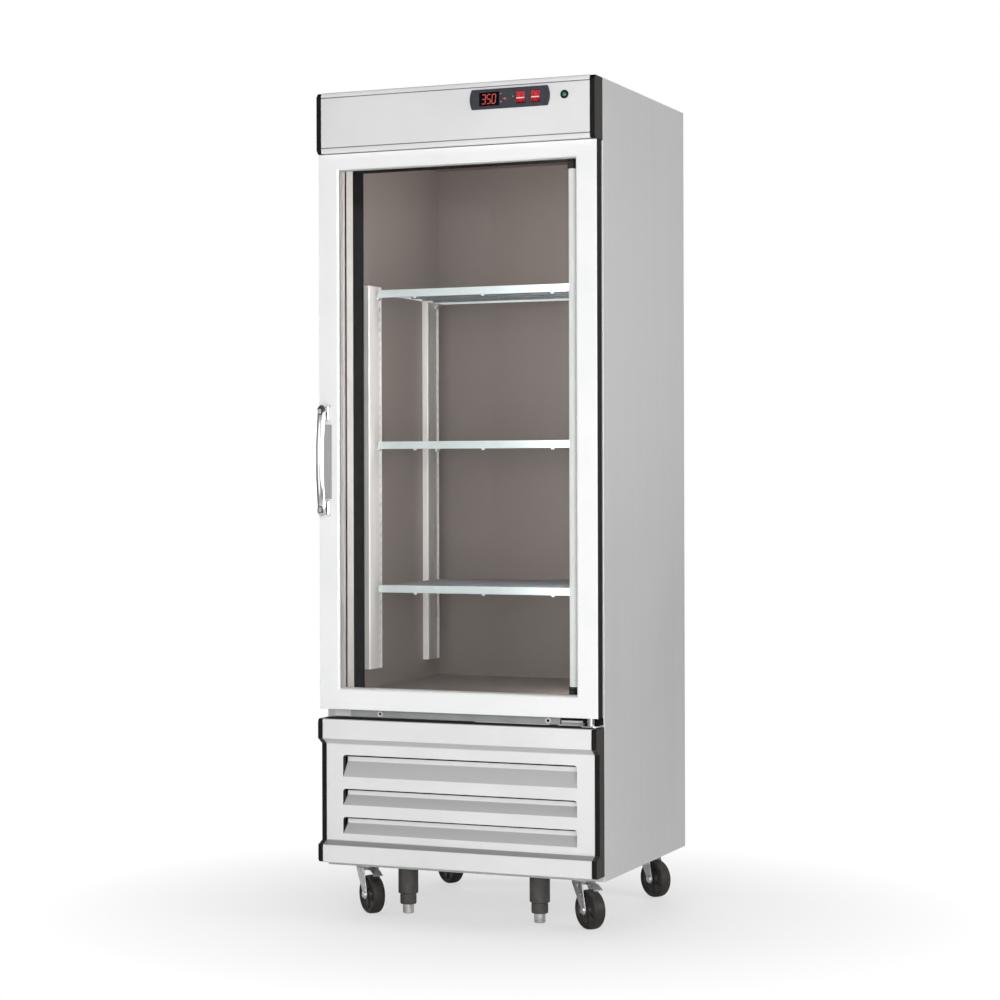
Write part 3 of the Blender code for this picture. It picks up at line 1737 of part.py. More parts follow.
def build():
    clear_scene()
    build_case()
    build_header()
    build_lower_front()
    build_hinges()
    build_door()
    build_inside()
    build_evaporator()
    build_condensing_unit()
    rear_grille()
    base_frame()
    build_casters()
    build_legs()


build()
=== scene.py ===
"""Dressed model of an upright dry aging cabinet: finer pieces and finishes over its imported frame."""

import math

import bmesh
import bpy
from mathutils import Matrix, Vector


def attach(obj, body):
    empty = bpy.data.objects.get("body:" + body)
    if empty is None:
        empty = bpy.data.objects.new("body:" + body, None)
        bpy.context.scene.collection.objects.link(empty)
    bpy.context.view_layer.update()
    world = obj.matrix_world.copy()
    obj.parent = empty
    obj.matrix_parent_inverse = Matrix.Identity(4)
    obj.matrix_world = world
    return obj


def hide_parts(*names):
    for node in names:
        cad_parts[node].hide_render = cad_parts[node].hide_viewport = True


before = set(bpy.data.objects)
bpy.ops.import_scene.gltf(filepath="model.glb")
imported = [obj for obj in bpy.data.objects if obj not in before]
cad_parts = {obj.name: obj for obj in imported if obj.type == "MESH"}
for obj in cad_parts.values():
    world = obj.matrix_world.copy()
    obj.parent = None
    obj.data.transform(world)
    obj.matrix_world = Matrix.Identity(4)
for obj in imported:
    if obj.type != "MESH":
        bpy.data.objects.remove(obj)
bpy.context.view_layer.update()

sides = ((-1, "left"), (1, "right"))
tiny = 0.00001

# Case
half_width = 0.3715
case_front = -0.286
case_back = 0.384
base_z = 0.126
top_z = 2.088
sheet = 0.001
clearance = 0.0003
side_flange = 0.022
pan_flange = 0.015
fold_radius = 0.003
border_rise = 0.045
trim_wall = 0.002
trim_back = -0.248

# Header and controller
face_y = -0.346
header_bottom = 1.935
header_lean = 0.0010
header_return = 0.046
groove_depth = 0.0013
header_lip = 0.013
header_wall = 0.0015
cap_inner = 0.3585
cap_proud = 0.001
cap_chamfer = 0.009
control_z = 2.044
bezel_x = 0.1525
bezel_half = 0.1045
bezel_rise = 0.0245
bezel_thickness = 0.005
bezel_rim = 0.0028
bezel_step = 0.0008
bezel_bow = 0.0055
window_left = 0.0730
window_right = 0.1260
window_rise = 0.017
lens_sink = 0.0010
digit_height = 0.0222
digit_width = 0.0092
digit_slant = 0.09
bar_width = 0.0022
rocker_places = {"left": 0.1820, "right": 0.2205}
rocker_half = 0.0115
rocker_rise = 0.0132
rocker_depth = 0.012
rocker_proud = 0.0022
rocker_gap = 0.0009
rocker_dip = 0.0019
rocker_tilt = 6.0
lamp_x = 0.294
lamp_radius = 0.0105
lens_radius = 0.0058

# Lower panel
grille_bottom = 0.140
grille_top = 0.504
upper_band = 0.050
upper_step = 0.015
lower_band = 0.045
lower_step = 0.009
recess_depth = 0.024
grille_fold = 0.003
grille_sheet = 0.0015
louvre_half = 0.313
louvre_corner = 0.008
louvre_depth = 0.019
louvre_lip = 0.011
louvre_slot = 0.0055
leaf_inset = 0.005
louvre_heights = ((0.3566, 0.4116), (0.2850, 0.3261), (0.2125, 0.2545))
sill_bottom = 0.5068
sill_cap_places = (-0.219, 0.231)
sill_cap_z = 0.5163

# Door
door_half = 0.371
door_bottom = 0.528
door_top = 1.9332
door_face = -0.334
door_back = -0.298
skin = 0.003
glass_half = 0.3175
glass_bottom = 0.580
glass_top = 1.893
glass_thickness = 0.0036
glass_fronts = {"outer": -0.3259, "inner": -0.3091}
door_outer = (-door_half, door_half, door_bottom, door_top)
door_inner = (-glass_half, glass_half, glass_bottom, glass_top)
gasket_outer = (-0.343, 0.343, 0.5425, 1.9285)
gasket_width = 0.022
seal_lip_outer = (-0.3207, 0.3207, 0.5648, 1.9062)
seal_lip_width = 0.002
hinge_x = 0.348
hinge_y = -0.318
hinge_thickness = 0.0035
handle_x = -0.350
handle_middle = 1.1575
handle_half = 0.1385
handle_base = door_face - clearance
bow_thickness = 0.0090
bow_width = 0.0238
bow_bend = 0.022
bow_sagitta = 0.010
bow_crest = -0.3792

# Compartment
inner_half = 0.3165
deck_z = 0.569
opening_top = 1.902
machine_ceiling = 0.514
breaker_back = -0.181
post_x = 0.281
post_front = -0.261
post_back = -0.239
shelf_heights = {"bottom": 0.836, "middle": 1.208, "top": 1.601}
shelf_front = -0.141
shelf_back = 0.309
shelf_half = 0.295
rod_radius = 0.003
wire_radius = 0.002
wire_pitch = 0.015
rail_drop = 0.011
rod_bend = 0.012
pilaster_fronts = {"front": -0.178, "rear": 0.214}
pilaster_width = 0.082
pilaster_face = 0.302
pilaster_bottom = 0.618
pilaster_top = 1.611
slot_pitch = 0.0255
slot_half = 0.0025
slot_height = 0.012

# Casters and legs
caster_places = {
    "front_left": (-0.293, -0.218, -41.0),
    "front_right": (0.293, -0.218, -38.0),
    "rear_left": (-0.293, 0.309, -36.0),
    "rear_right": (0.293, 0.309, -35.0),
}
caster_trail = 0.030
wheel_radius = 0.04904
wheel_half = 0.016
axle_z = 0.04904
axle = Vector((caster_trail, 0, axle_z))
fork_top = 0.1167
fork_sheet = 0.0025
fork_inner = 0.019
fork_radius = 0.027
fork_rear = -0.0203
pedal_x = 0.02025
pedal_z = 0.1117
pedal_half = 0.0128
leg_x = 0.178
leg_y = -0.218

plane_axes = {"X": Vector((1, 0, 0)), "Y": Vector((0, 1, 0)), "Z": Vector((0, 0, 1))}


# Shader tools


def node(tree, kind, **settings):
    made = tree.nodes.new(kind)
    for label, value in settings.items():
        setattr(made, label, value)
    return made


def fill(tree, sockets, values):
    """Links outputs to sockets, and sets the sockets given plain values."""
    for label, value in values.items():
        if isinstance(value, bpy.types.NodeSocket):
            tree.links.new(value, sockets[label])
        else:
            sockets[label].default_value = value


def wired(tree, kind, values, output=0, **settings):
    """Adds a node, fills its inputs and returns one of its outputs."""
    made = node(tree, kind, **settings)
    fill(tree, made.inputs, values)
    return made.outputs[output]


def maths(tree, operation, *values):
    return wired(tree, "ShaderNodeMath", dict(enumerate(values)), operation=operation)


def ramp(tree, value, low, high, start=0.0, end=1.0):
    """Stretches a value's range from low and high to start and end, and keeps it between them."""
    values = {"Value": value, "From Min": low, "From Max": high, "To Min": start, "To Max": end}
    return wired(tree, "ShaderNodeMapRange", values)


def blended(tree, share, first, second):
    """A colour between two others."""
    return wired(tree, "ShaderNodeMix", {"Factor": share, 6: first, 7: second}, 2, data_type="RGBA")


def noise(tree, vector, scale, detail=2.0, roughness=0.5):
    values = {"Vector": vector, "Scale": scale, "Detail": detail, "Roughness": roughness}
    return wired(tree, "ShaderNodeTexNoise", values)


def upward(tree, low, high):
    """Grows as a face turns to look up."""
    normal = wired(tree, "ShaderNodeNewGeometry", {}, "Normal")
    return ramp(tree, wired(tree, "ShaderNodeSeparateXYZ", {0: normal}, "Z"), low, high)


def mixed(tree, share, first, second, end):
    """Ends a tree with a mix of two shaders."""
    either = wired(tree, "ShaderNodeMixShader", {0: share, 1: first, 2: second})
    fill(tree, tree.nodes[end].inputs, {"Surface": either})


def ray(tree, kind):
    return wired(tree, "ShaderNodeLightPath", {}, kind)


def shader_group(name, inputs, outputs):
    """An empty group with its sockets, which are vectors or numbers as their first values are."""
    group = bpy.data.node_groups.new(name, "ShaderNodeTree")
    for label, value in inputs.items():
        kind = "NodeSocketVector" if isinstance(value, tuple) else "NodeSocketFloat"
        group.interface.new_socket(label, in_out="INPUT", socket_type=kind).default_value = value
    for label in outputs:
        group.interface.new_socket(label, in_out="OUTPUT", socket_type="NodeSocketFloat")
    return group, group.nodes.new("NodeGroupInput").outputs, group.nodes.new("NodeGroupOutput").inputs


def brushing_group():
    """Fine lines, long along one direction and close across it."""
    sockets = {"Vector": (0, 0, 0), "Stretch": (1, 1, 1)}
    group, given, result = shader_group("brushing", sockets, ("Shade", "Height"))
    values = {0: given["Vector"], 1: given["Stretch"]}
    stretched = wired(group, "ShaderNodeVectorMath", values, operation="MULTIPLY")
    lines = noise(group, stretched, 1.0, 4.0, 0.62)
    fill(group, result, {"Shade": ramp(group, lines, 0.36, 0.64), "Height": lines})
    return group


def mottle_group():
    """Soft cloudy patches, with finer speckle in them."""
    group, given, result = shader_group("mottle", {"Vector": (0, 0, 0), "Scale": 6.0}, ("Shade", "Height"))
    clouds = noise(group, given["Vector"], given["Scale"], 3.0, 0.55)
    speckle = noise(group, given["Vector"], maths(group, "MULTIPLY", given["Scale"], 40.0), 2.0, 0.6)
    coarse, fine = maths(group, "MULTIPLY", clouds, 0.75), maths(group, "MULTIPLY", speckle, 0.25)
    both = maths(group, "ADD", coarse, fine)
    fill(group, result, {"Shade": ramp(group, both, 0.38, 0.62), "Height": speckle})
    return group


def edge_wear_group():
    """A mask on rubbed edges, broken up along them."""
    group, given, result = shader_group("edge wear", {"Vector": (0, 0, 0), "Radius": 0.0015}, ("Mask",))
    rounded = wired(group, "ShaderNodeBevel", {"Radius": given["Radius"]}, samples=4)
    values = {0: rounded, 1: wired(group, "ShaderNodeNewGeometry", {}, "Normal")}
    turn = wired(group, "ShaderNodeVectorMath", values, "Value", operation="DOT_PRODUCT")
    broken = ramp(group, noise(group, given["Vector"], 180.0, 3.0, 0.6), 0.42, 0.60)
    fill(group, result, {"Mask": maths(group, "MULTIPLY", ramp(group, turn, 0.985, 0.90), broken)})
    return group


def dust_group():
    """A mask of dust that has settled on faces that look up."""
    group, given, result = shader_group("dust", {"Vector": (0, 0, 0), "Scale": 30.0}, ("Mask",))
    patches = ramp(group, noise(group, given["Vector"], given["Scale"], 4.0, 0.65), 0.35, 0.75)
    fill(group, result, {"Mask": maths(group, "MULTIPLY", upward(group, 0.35, 0.95), patches)})
    return group


def upward_group():
    """A mask that grows as a face turns to look up."""
    group, given, result = shader_group("looking up", {"Low": 0.22, "High": 0.90}, ("Mask",))
    fill(group, result, {"Mask": upward(group, given["Low"], given["High"])})
    return group


effects = {
    "brushing": brushing_group(),
    "mottle": mottle_group(),
    "edge wear": edge_wear_group(),
    "dust": dust_group(),
    "looking up": upward_group(),
}
dust_scale = 24.0
dust_colour = (0.60, 0.58, 0.55, 1)


def effect(tree, name, values):
    """The outputs of one of the shared groups."""
    made = node(tree, "ShaderNodeGroup", node_tree=effects[name])
    fill(tree, made.inputs, values)
    return made.outputs


def new_material(name):
    """A material, its tree, its shader and the object's own coordinates."""
    material = bpy.data.materials.new(name)
    material.use_nodes = True
    tree = material.node_tree
    return material, tree, tree.nodes["Principled BSDF"], wired(tree, "ShaderNodeTexCoord", {}, "Object")


def finish(
    name, colour, second, metallic, roughness, swing, patches,
    depth=0.0, stretch=None, coat=0.0, wear=None, dust=0.0, upper=(), glow=0.0, sheen=0.5,
):
    """A surface between two colours, mottled or brushed, with painted shade on faces that tilt up or down,
    wear and dust where they are given.
    """
    material, tree, shader, place = new_material(name)
    cloudy = effect(tree, "mottle", {"Vector": place, "Scale": patches})
    shade, height = cloudy["Shade"], cloudy["Height"]
    if stretch:
        lines = effect(tree, "brushing", {"Vector": place, "Stretch": stretch})
        shade = maths(tree, "MULTIPLY_ADD", lines["Shade"], 0.6, maths(tree, "MULTIPLY", shade, 0.4))
        height = lines["Height"]
    base = blended(tree, shade, (*colour, 1), (*second, 1))
    rough = maths(tree, "MULTIPLY_ADD", shade, swing, roughness - swing / 2)
    # Painted shade: faces that tilt up or down blend towards darker tones, standing in for the light they get
    # less of.
    for low, high, tone in upper:
        mask = effect(tree, "looking up", {"Low": low, "High": high})["Mask"]
        base = blended(tree, mask, base, (*tone, 1))
    if wear:
        mask = effect(tree, "edge wear", {"Vector": place, "Radius": 0.0012})["Mask"]
        base = blended(tree, mask, base, (*wear, 1))
    if dust:
        settled = effect(tree, "dust", {"Vector": place, "Scale": dust_scale})["Mask"]
        mask = maths(tree, "MULTIPLY", settled, dust)
        base = blended(tree, mask, base, dust_colour)
        rough = maths(tree, "MAXIMUM", rough, mask)
    values = {"Base Color": base, "Roughness": rough, "Metallic": metallic, "Specular IOR Level": sheen}
    if coat:
        values |= {"Coat Weight": coat, "Coat Roughness": 0.12}
    if depth:
        relief = {"Strength": 1.0, "Distance": depth, "Height": height}
        values["Normal"] = wired(tree, "ShaderNodeBump", relief)
    if glow:
        values |= {"Emission Color": base, "Emission Strength": glow}
    fill(tree, shader.inputs, values)
    return material


def clear_glass():
    """Clear glass that lets lamp light through as it is."""
    material, tree, shader, place = new_material("pane_glass")
    smears = effect(tree, "mottle", {"Vector": place, "Scale": 3.0})["Shade"]
    tint = blended(tree, smears, (0.975, 0.985, 0.98, 1), (0.985, 0.992, 0.988, 1))
    fill(tree, shader.inputs, {"Base Color": tint, "Roughness": maths(tree, "MULTIPLY", smears, 0.012)})
    fill(tree, shader.inputs, {"Metallic": 0.0, "Transmission Weight": 1.0, "IOR": 1.10})
    passing = maths(tree, "MAXIMUM", ray(tree, "Is Shadow Ray"), ray(tree, "Is Diffuse Ray"))
    open_air = wired(tree, "ShaderNodeBsdfTransparent", {0: (0.87, 0.88, 0.875, 1)})
    mixed(tree, passing, shader.outputs[0], open_air, "Material Output")
    return material


# Finishes: two colours, metallic, roughness and its swing, the scale of the patches, the depth of the relief

side_tones = (0.56, 0.555, 0.562), (0.63, 0.625, 0.632)
brushed = finish("brushed_side", *side_tones, 0.30, 0.42, 0.10, 1.6, 0.00002, (260, 260, 1.3))
brushed_top = finish("brushed_top", *side_tones, 0.30, 0.42, 0.10, 1.6, 0.00002, (1.3, 260, 260), dust=0.25)
silver_tones = (0.765, 0.765, 0.77), (0.805, 0.805, 0.81)
# Painted shade for the silver paint: darker tones on faces that look up or down; header_silver is the same
# finish without it.
tilt_painted_shade = [
    (0.22, 0.42, (0.56, 0.555, 0.558)),
    (0.70, 0.90, (0.34, 0.335, 0.337)),
    (-0.45, -0.80, (0.60, 0.61, 0.607)),
]
silver = finish("silver_paint", *silver_tones, 0.14, 0.42, 0.06, 5.0, upper=tilt_painted_shade, sheen=0.3)
header_silver = finish("header_silver", *silver_tones, 0.14, 0.42, 0.06, 5.0, sheen=0.3)
# Painted shadow for the sides of the header's grooves.
groove_shadow_paint = finish("groove_shadow", (0.16, 0.16, 0.165), (0.22, 0.22, 0.225), 0.3, 0.45, 0.06, 5.0)
white_tones = (0.86, 0.865, 0.87), (0.90, 0.90, 0.905)
door_white = finish("door_white", *white_tones, 0.0, 0.40, 0.05, 5.0, 0.00001, coat=0.1, sheen=0.3)
zinc_tones = (0.51, 0.52, 0.53), (0.60, 0.61, 0.62)
galvanised = finish("galvanised", *zinc_tones, 0.75, 0.42, 0.08, 75.0, 0.00003, dust=0.2)
plated_tones = (0.58, 0.58, 0.59), (0.74, 0.74, 0.75)
zinc = finish("zinc_plate", *plated_tones, 0.85, 0.30, 0.14, 34.0, 0.00003, wear=(0.85, 0.85, 0.86))
chrome = finish("polished_chrome", (0.84, 0.85, 0.86), (0.90, 0.905, 0.91), 1.0, 0.09, 0.05, 12.0)
black_tones = (0.004, 0.004, 0.003), (0.009, 0.009, 0.008)
black_moulded = finish("black_moulded", *black_tones, 0.0, 0.50, 0.10, 60.0, 0.00004, sheen=0.15)
grey_tones = (0.031, 0.028, 0.025), (0.043, 0.039, 0.035)
grey_moulded = finish("grey_moulded", *grey_tones, 0.0, 0.55, 0.10, 60.0, 0.00004, sheen=0.2)
charcoal_tones = (0.030, 0.035, 0.043), (0.042, 0.048, 0.058)
charcoal = finish("charcoal_moulded", *charcoal_tones, 0.0, 0.48, 0.10, 90.0, 0.00003, sheen=0.35)
core_tones = (0.005, 0.004, 0.004), (0.010, 0.009, 0.008)
dark_core = finish("dark_core", *core_tones, 0.0, 0.55, 0.10, 50.0, 0.00003, sheen=0.12)
rubber_tones = (0.012, 0.011, 0.011), (0.022, 0.021, 0.021)
rubber = finish("seal_rubber", *rubber_tones, 0.0, 0.66, 0.10, 70.0, 0.00005, sheen=0.15)
lip_tones = (0.42, 0.33, 0.33), (0.50, 0.40, 0.40)
seal_lip = finish("seal_lip", *lip_tones, 0.0, 0.55, 0.10, 70.0, 0.00003, sheen=0.3)
reveal_tones = (0.62, 0.595, 0.585), (0.68, 0.655, 0.645)
reveal_grey = finish("reveal_grey", *reveal_tones, 0.0, 0.40, 0.08, 30.0, 0.00002)
jamb_grey = finish("jamb_grey", (0.54, 0.50, 0.49), (0.60, 0.56, 0.55), 0.0, 0.42, 0.08, 30.0, 0.00002)
spacer_silver = finish("spacer_silver", (0.48, 0.48, 0.47), (0.56, 0.56, 0.55), 0.5, 0.34, 0.06, 3.0)
liner_tones = (0.152, 0.124, 0.113), (0.178, 0.145, 0.132)
liner_paint = finish("liner_paint", *liner_tones, 0.05, 0.42, 0.10, 2.4, 0.00002, (320, 320, 3))
# Painted shade: the evaporator cover is darker and browner than the liner, for the shadow under the ceiling.
ceiling_shade_tones = (0.13, 0.085, 0.078), (0.17, 0.110, 0.100)
ceiling_shade_paint = finish("ceiling_shade_paint", *ceiling_shade_tones, 0.0, 0.50, 0.10, 9.0, 0.00002, sheen=0.3)
channel_tones = (0.78, 0.74, 0.72), (0.86, 0.82, 0.80)
pilaster_paint = finish("pilaster_paint", *channel_tones, 0.1, 0.36, 0.10, 7.0, 0.00002, (400, 400, 10))
# Lit and shaded copies of the pilasters' face finish: painted light on the front ones, painted shade on the
# rear ones.
lit_face_tones = (0.62, 0.585, 0.575), (0.70, 0.665, 0.655)
pilaster_lit_face = finish("pilaster_lit_face", *lit_face_tones, 0.3, 0.34, 0.10, 3.0, 0.00002, (400, 400, 6))
shaded_face_tones = (0.36, 0.34, 0.33), (0.44, 0.415, 0.40)
pilaster_shaded_face = finish("pilaster_shaded_face", *shaded_face_tones, 0.45, 0.30, 0.10, 3.0, 0.00002, (400, 400, 6))
jamb_tones = (0.0015, 0.0015, 0.0012), (0.003, 0.003, 0.0025)
jamb_black = finish("jamb_black", *jamb_tones, 0.0, 0.60, 0.10, 60.0, sheen=0.04)
coat_tones = (0.82, 0.90, 0.91), (0.88, 0.95, 0.96)
shelf_coat = finish("wire_coating", *coat_tones, 0.0, 0.34, 0.08, 40.0, 0.00002, coat=0.2)
# A darker copy of the wire coating for the shelf decks: painted shade on their undersides.
shelf_shade_coat = finish("wire_coating_shade", (0.17, 0.18, 0.19), (0.24, 0.25, 0.26), 0.35, 0.38, 0.10, 40.0, 0.00002)
lamp_white = finish("lamp_opal", (0.84, 0.85, 0.85), (0.90, 0.91, 0.91), 0.0, 0.42, 0.06, 20.0, glow=0.35)
lens_black = finish("display_lens", (0.001,) * 3, (0.002,) * 3, 0.0, 0.16, 0.04, 40.0, sheen=0.12)
digit_tones = (0.46, 0.045, 0.036), (0.54, 0.065, 0.050)
digit_red = finish("digit_red", *digit_tones, 0.0, 0.40, 0.05, 300.0, glow=0.32)
red_tones = (0.46, 0.006, 0.016), (0.56, 0.010, 0.022)
rocker_red = finish("rocker_red", *red_tones, 0.0, 0.28, 0.08, 120.0, 0.00002, coat=0.3)
print_white = finish("print_white", (0.82, 0.78, 0.78), (0.92, 0.90, 0.90), 0.0, 0.45, 0.05, 200.0)
green_tones = (0.010, 0.13, 0.085), (0.020, 0.20, 0.13)
lamp_green = finish("lamp_green", *green_tones, 0.0, 0.14, 0.06, 160.0, coat=0.5)
tread_tones = (0.014, 0.012, 0.011), (0.030, 0.026, 0.024)
tread = finish("tread_rubber", *tread_tones, 0.0, 0.50, 0.16, 26.0, 0.00008, dust=0.15, sheen=0.35)
hub_tones = (0.030, 0.026, 0.025), (0.050, 0.043, 0.041)
hub_grey = finish("hub_plastic", *hub_tones, 0.0, 0.40, 0.10, 50.0, 0.00004, sheen=0.4)
leg_tones = (0.058, 0.055, 0.050), (0.080, 0.076, 0.070)
leg_grey = finish("leg_plastic", *leg_tones, 0.0, 0.50, 0.12, 40.0, 0.00005, sheen=0.35)
foot_grey = finish("foot_metal", (0.50, 0.49, 0.49), (0.64, 0.63, 0.62), 0.6, 0.35, 0.12, 60.0, 0.00003)
fin_tones = (0.55, 0.56, 0.57), (0.75, 0.76, 0.77)
fins = finish("fin_metal", *fin_tones, 0.9, 0.35, 0.16, 20.0, 0.00004, (1200, 30, 30))
blade_tones = (0.62, 0.63, 0.64), (0.74, 0.75, 0.76)
blades = finish("fan_metal", *blade_tones, 0.9, 0.32, 0.12, 30.0, stretch=(300, 40, 300))
shell_tones = (0.014,) * 3, (0.030,) * 3
black_steel = finish("compressor_black", *shell_tones, 0.3, 0.35, 0.12, 22.0, 0.00004, dust=0.25)
foam = finish("insulation_foam", (0.72, 0.63, 0.40), (0.84, 0.76, 0.54), 0.0, 0.85, 0.10, 40.0, 0.0003)
glass = clear_glass()
sill_grey = finish("sill_grey", (0.36, 0.385, 0.38), (0.44, 0.465, 0.46), 0.2, 0.40, 0.08, 20.0, 0.00002)
plate_grey = finish("plate_grey", (0.40,) * 3, (0.50,) * 3, 0.5, 0.35, 0.10, 20.0, stretch=(600, 600, 12))


# Shape tools


def at(axis, across, up, along):
    """A point given across an axis: X takes (y, z), Y takes (x, z) and Z takes (x, y)."""
    places = {"X": (along, across, up), "Y": (across, along, up), "Z": (across, up, along)}
    return Vector(places[axis])


def corners_of(grown):
    return [item for item in grown if isinstance(item, bmesh.types.BMVert)]


def line_through(shape, axis, path, along, closed=False):
    """A line of edges through the points of a path, closed into a loop where asked."""
    corners = [shape.verts.new(at(axis, across, up, along)) for across, up in path]
    following = corners[1:] + corners[:1] if closed else corners[1:]
    return [shape.edges.new(pair) for pair in zip(corners, following)]


def drawn(axis, outline, start, end, holes=()):
    """An outline, with holes where given, drawn out along an axis into a solid."""
    shape = bmesh.new()
    edges = line_through(shape, axis, outline, start, True)
    for hole in holes:
        edges += line_through(shape, axis, hole, start, True)
    if holes:
        bmesh.ops.triangle_fill(shape, use_beauty=True, edges=edges)
    else:
        bmesh.ops.edgeloop_fill(shape, edges=edges)
    grown = bmesh.ops.extrude_face_region(shape, geom=shape.faces[:])["geom"]
    bmesh.ops.translate(shape, verts=corners_of(grown), vec=at(axis, 0, 0, end - start))
    bmesh.ops.recalc_face_normals(shape, faces=shape.faces)
    return shape


def block(low, high):
    """A box between two corners, for softening or joining to others."""
    outline = [(low[0], low[1]), (high[0], low[1]), (high[0], high[1]), (low[0], high[1])]
    return drawn("Z", outline, low[2], high[2])


def swept(shape, edges, move):
    """Grows faces from edges along a move, and returns what is new."""
    grown = bmesh.ops.extrude_edge_only(shape, edges=edges)["geom"]
    bmesh.ops.translate(shape, verts=corners_of(grown), vec=move)
    return grown


def folded_sheet(axis, path, start, end, folds):
    """A line of flat strips along an axis, with its folds rounded."""
    shape = bmesh.new()
    swept(shape, line_through(shape, axis, path, start), at(axis, 0, 0, end - start))
    for number, radius in folds.items():
        rounded_along(shape, axis, path[number], radius)
    return shape


def lying_on(edge, places):
    """Whether both ends of an edge are at the given values of the given coordinates."""
    return all(abs(vertex.co[index] - place) < tiny for vertex in edge.verts for index, place in places)


def rounded_along(shape, axis, corner, radius, segments=4):
    """Rounds the edges that run along an axis through a corner."""
    places = list(zip([index for index in range(3) if "XYZ"[index] != axis], corner))
    bevelled(shape, [edge for edge in shape.edges if lying_on(edge, places)], radius, segments)


def folded_rim(shape, index, place, move, corner):
    """Folds the rim of a flat sheet by a move, and rounds the upright fold through a corner."""
    swept(shape, [edge for edge in shape.edges if lying_on(edge, [(index, place)])], move)
    rounded_along(shape, "Z", corner, 0.0015, 3)


def bevelled(shape, edges, width, segments):
    bmesh.ops.bevel(
        shape, geom=edges, offset=width, segments=segments,
        profile=0.5, affect="EDGES", material=-1, clamp_overlap=True,
    )


def softened(shape, width, segments=2, angle=30.0):
    """Rounds every edge that turns by more than an angle."""
    bmesh.ops.recalc_face_normals(shape, faces=shape.faces)
    limit = math.radians(angle)
    sharp = [edge for edge in shape.edges if edge.is_manifold and edge.calc_face_angle() > limit]
    bevelled(shape, sharp, width, segments)
    return shape


def soft_block(low, high, width, segments=2):
    return softened(block(low, high), width, segments)


def gathered(shapes):
    """Puts several shapes into one."""
    whole = bmesh.new()
    for shape in shapes:
        mesh = bpy.data.meshes.new("gathered")
        shape.to_mesh(mesh)
        shape.free()
        whole.from_mesh(mesh)
        bpy.data.meshes.remove(mesh)
    return whole


def turned(axis, centre, profile, steps=48):
    """Spins a profile of (radius, height) round an axis through a centre."""
    shape = bmesh.new()
    direction = plane_axes[axis]
    side = plane_axes["X"] if axis == "Z" else plane_axes["Z"]
    start = Vector(centre)
    corners = [shape.verts.new(start + side * radius + direction * height) for radius, height in profile]
    edges = [shape.edges.new(pair) for pair in zip(corners, corners[1:])]
    bmesh.ops.spin(
        shape, geom=corners + edges, cent=start, axis=direction, dvec=(0, 0, 0), angle=math.tau,
        steps=steps, use_merge=True, use_duplicate=False,
    )
    bmesh.ops.remove_doubles(shape, verts=shape.verts, dist=tiny)
    bmesh.ops.recalc_face_normals(shape, faces=shape.faces)
    return shape


def pin(centre, radius, half, steps):
    """A plain round pin along Y."""
    return turned("Y", centre, [(0, -half), (radius, -half), (radius, half), (0, half)], steps)


def from_half(half, middle=()):
    """A closed profile of (radius, height) from its upper half, mirrored at height nought."""
    return half + list(middle) + [(radius, -height) for radius, height in reversed(half)] + half[:1]


def turned_blocks(count, axis, centre, low, high, width):
    """Copies of a soft block in even steps round an axis."""
    shapes = []
    for number in range(count):
        shape = soft_block(low, high, width)
        turn = Matrix.Rotation(math.tau * number / count, 3, axis)
        bmesh.ops.rotate(shape, cent=centre, matrix=turn, verts=shape.verts)
        shapes.append(shape)
    return shapes


def bent_rod(start, heading, radius, moves, sides_round=10):
    """A round rod that runs straight by a length, or turns by (angle, bend radius, axis), move after move."""
    shape = bmesh.new()
    place, heading = Vector(start), Vector(heading)
    stand = Matrix.Translation(place) @ heading.to_track_quat("Z", "Y").to_matrix().to_4x4()
    bmesh.ops.create_circle(shape, cap_ends=True, segments=sides_round, radius=radius, matrix=stand)
    ring = shape.edges[:]
    for move in moves:
        if isinstance(move, (int, float)):
            grown = swept(shape, ring, heading * move)
            place = place + heading * move
        else:
            angle, bend, axis = math.radians(move[0]), move[1], Vector(move[2])
            centre = place + axis.cross(heading) * math.copysign(bend, angle)
            ends = list({vertex for edge in ring for vertex in edge.verts})
            steps = max(3, int(abs(move[0]) / 15))
            grown = bmesh.ops.spin(
                shape, geom=ring + ends, cent=centre, axis=axis, dvec=(0, 0, 0), angle=angle,
                steps=steps, use_merge=False, use_duplicate=False,
            )["geom_last"]
            turn = Matrix.Rotation(angle, 3, axis)
            place = centre + turn @ (place - centre)
            heading = turn @ heading
        ring = [item for item in grown if isinstance(item, bmesh.types.BMEdge)]
    bmesh.ops.edgeloop_fill(shape, edges=ring)
    bmesh.ops.recalc_face_normals(shape, faces=shape.faces)
    return shape


def shrunk(rectangle, width):
    left, right, bottom, top = rectangle
    return left + width, right - width, bottom + width, top - width


def between(outer, inner, share):
    """The corners of a rectangle that lies a share of the way from an outer to an inner one."""
    left, right, bottom, top = (first + (last - first) * share for first, last in zip(outer, inner))
    return [(left, bottom), (right, bottom), (right, top), (left, top)]


def framed(outer, inner, profile):
    """Carries a closed profile of (share, y) round a rectangle in one piece."""
    shape = bmesh.new()
    for side in range(4):
        rings = []
        for corner in (side, (side + 1) % 4):
            places = [between(outer, inner, share)[corner] for share, depth in profile]
            corners = [shape.verts.new((place[0], step[1], place[1])) for place, step in zip(places, profile)]
            rings += [shape.edges.new(pair) for pair in zip(corners, corners[1:] + corners[:1])]
        bmesh.ops.bridge_loops(shape, edges=rings)
    bmesh.ops.remove_doubles(shape, verts=shape.verts, dist=tiny)
    bmesh.ops.recalc_face_normals(shape, faces=shape.faces)
    return shape


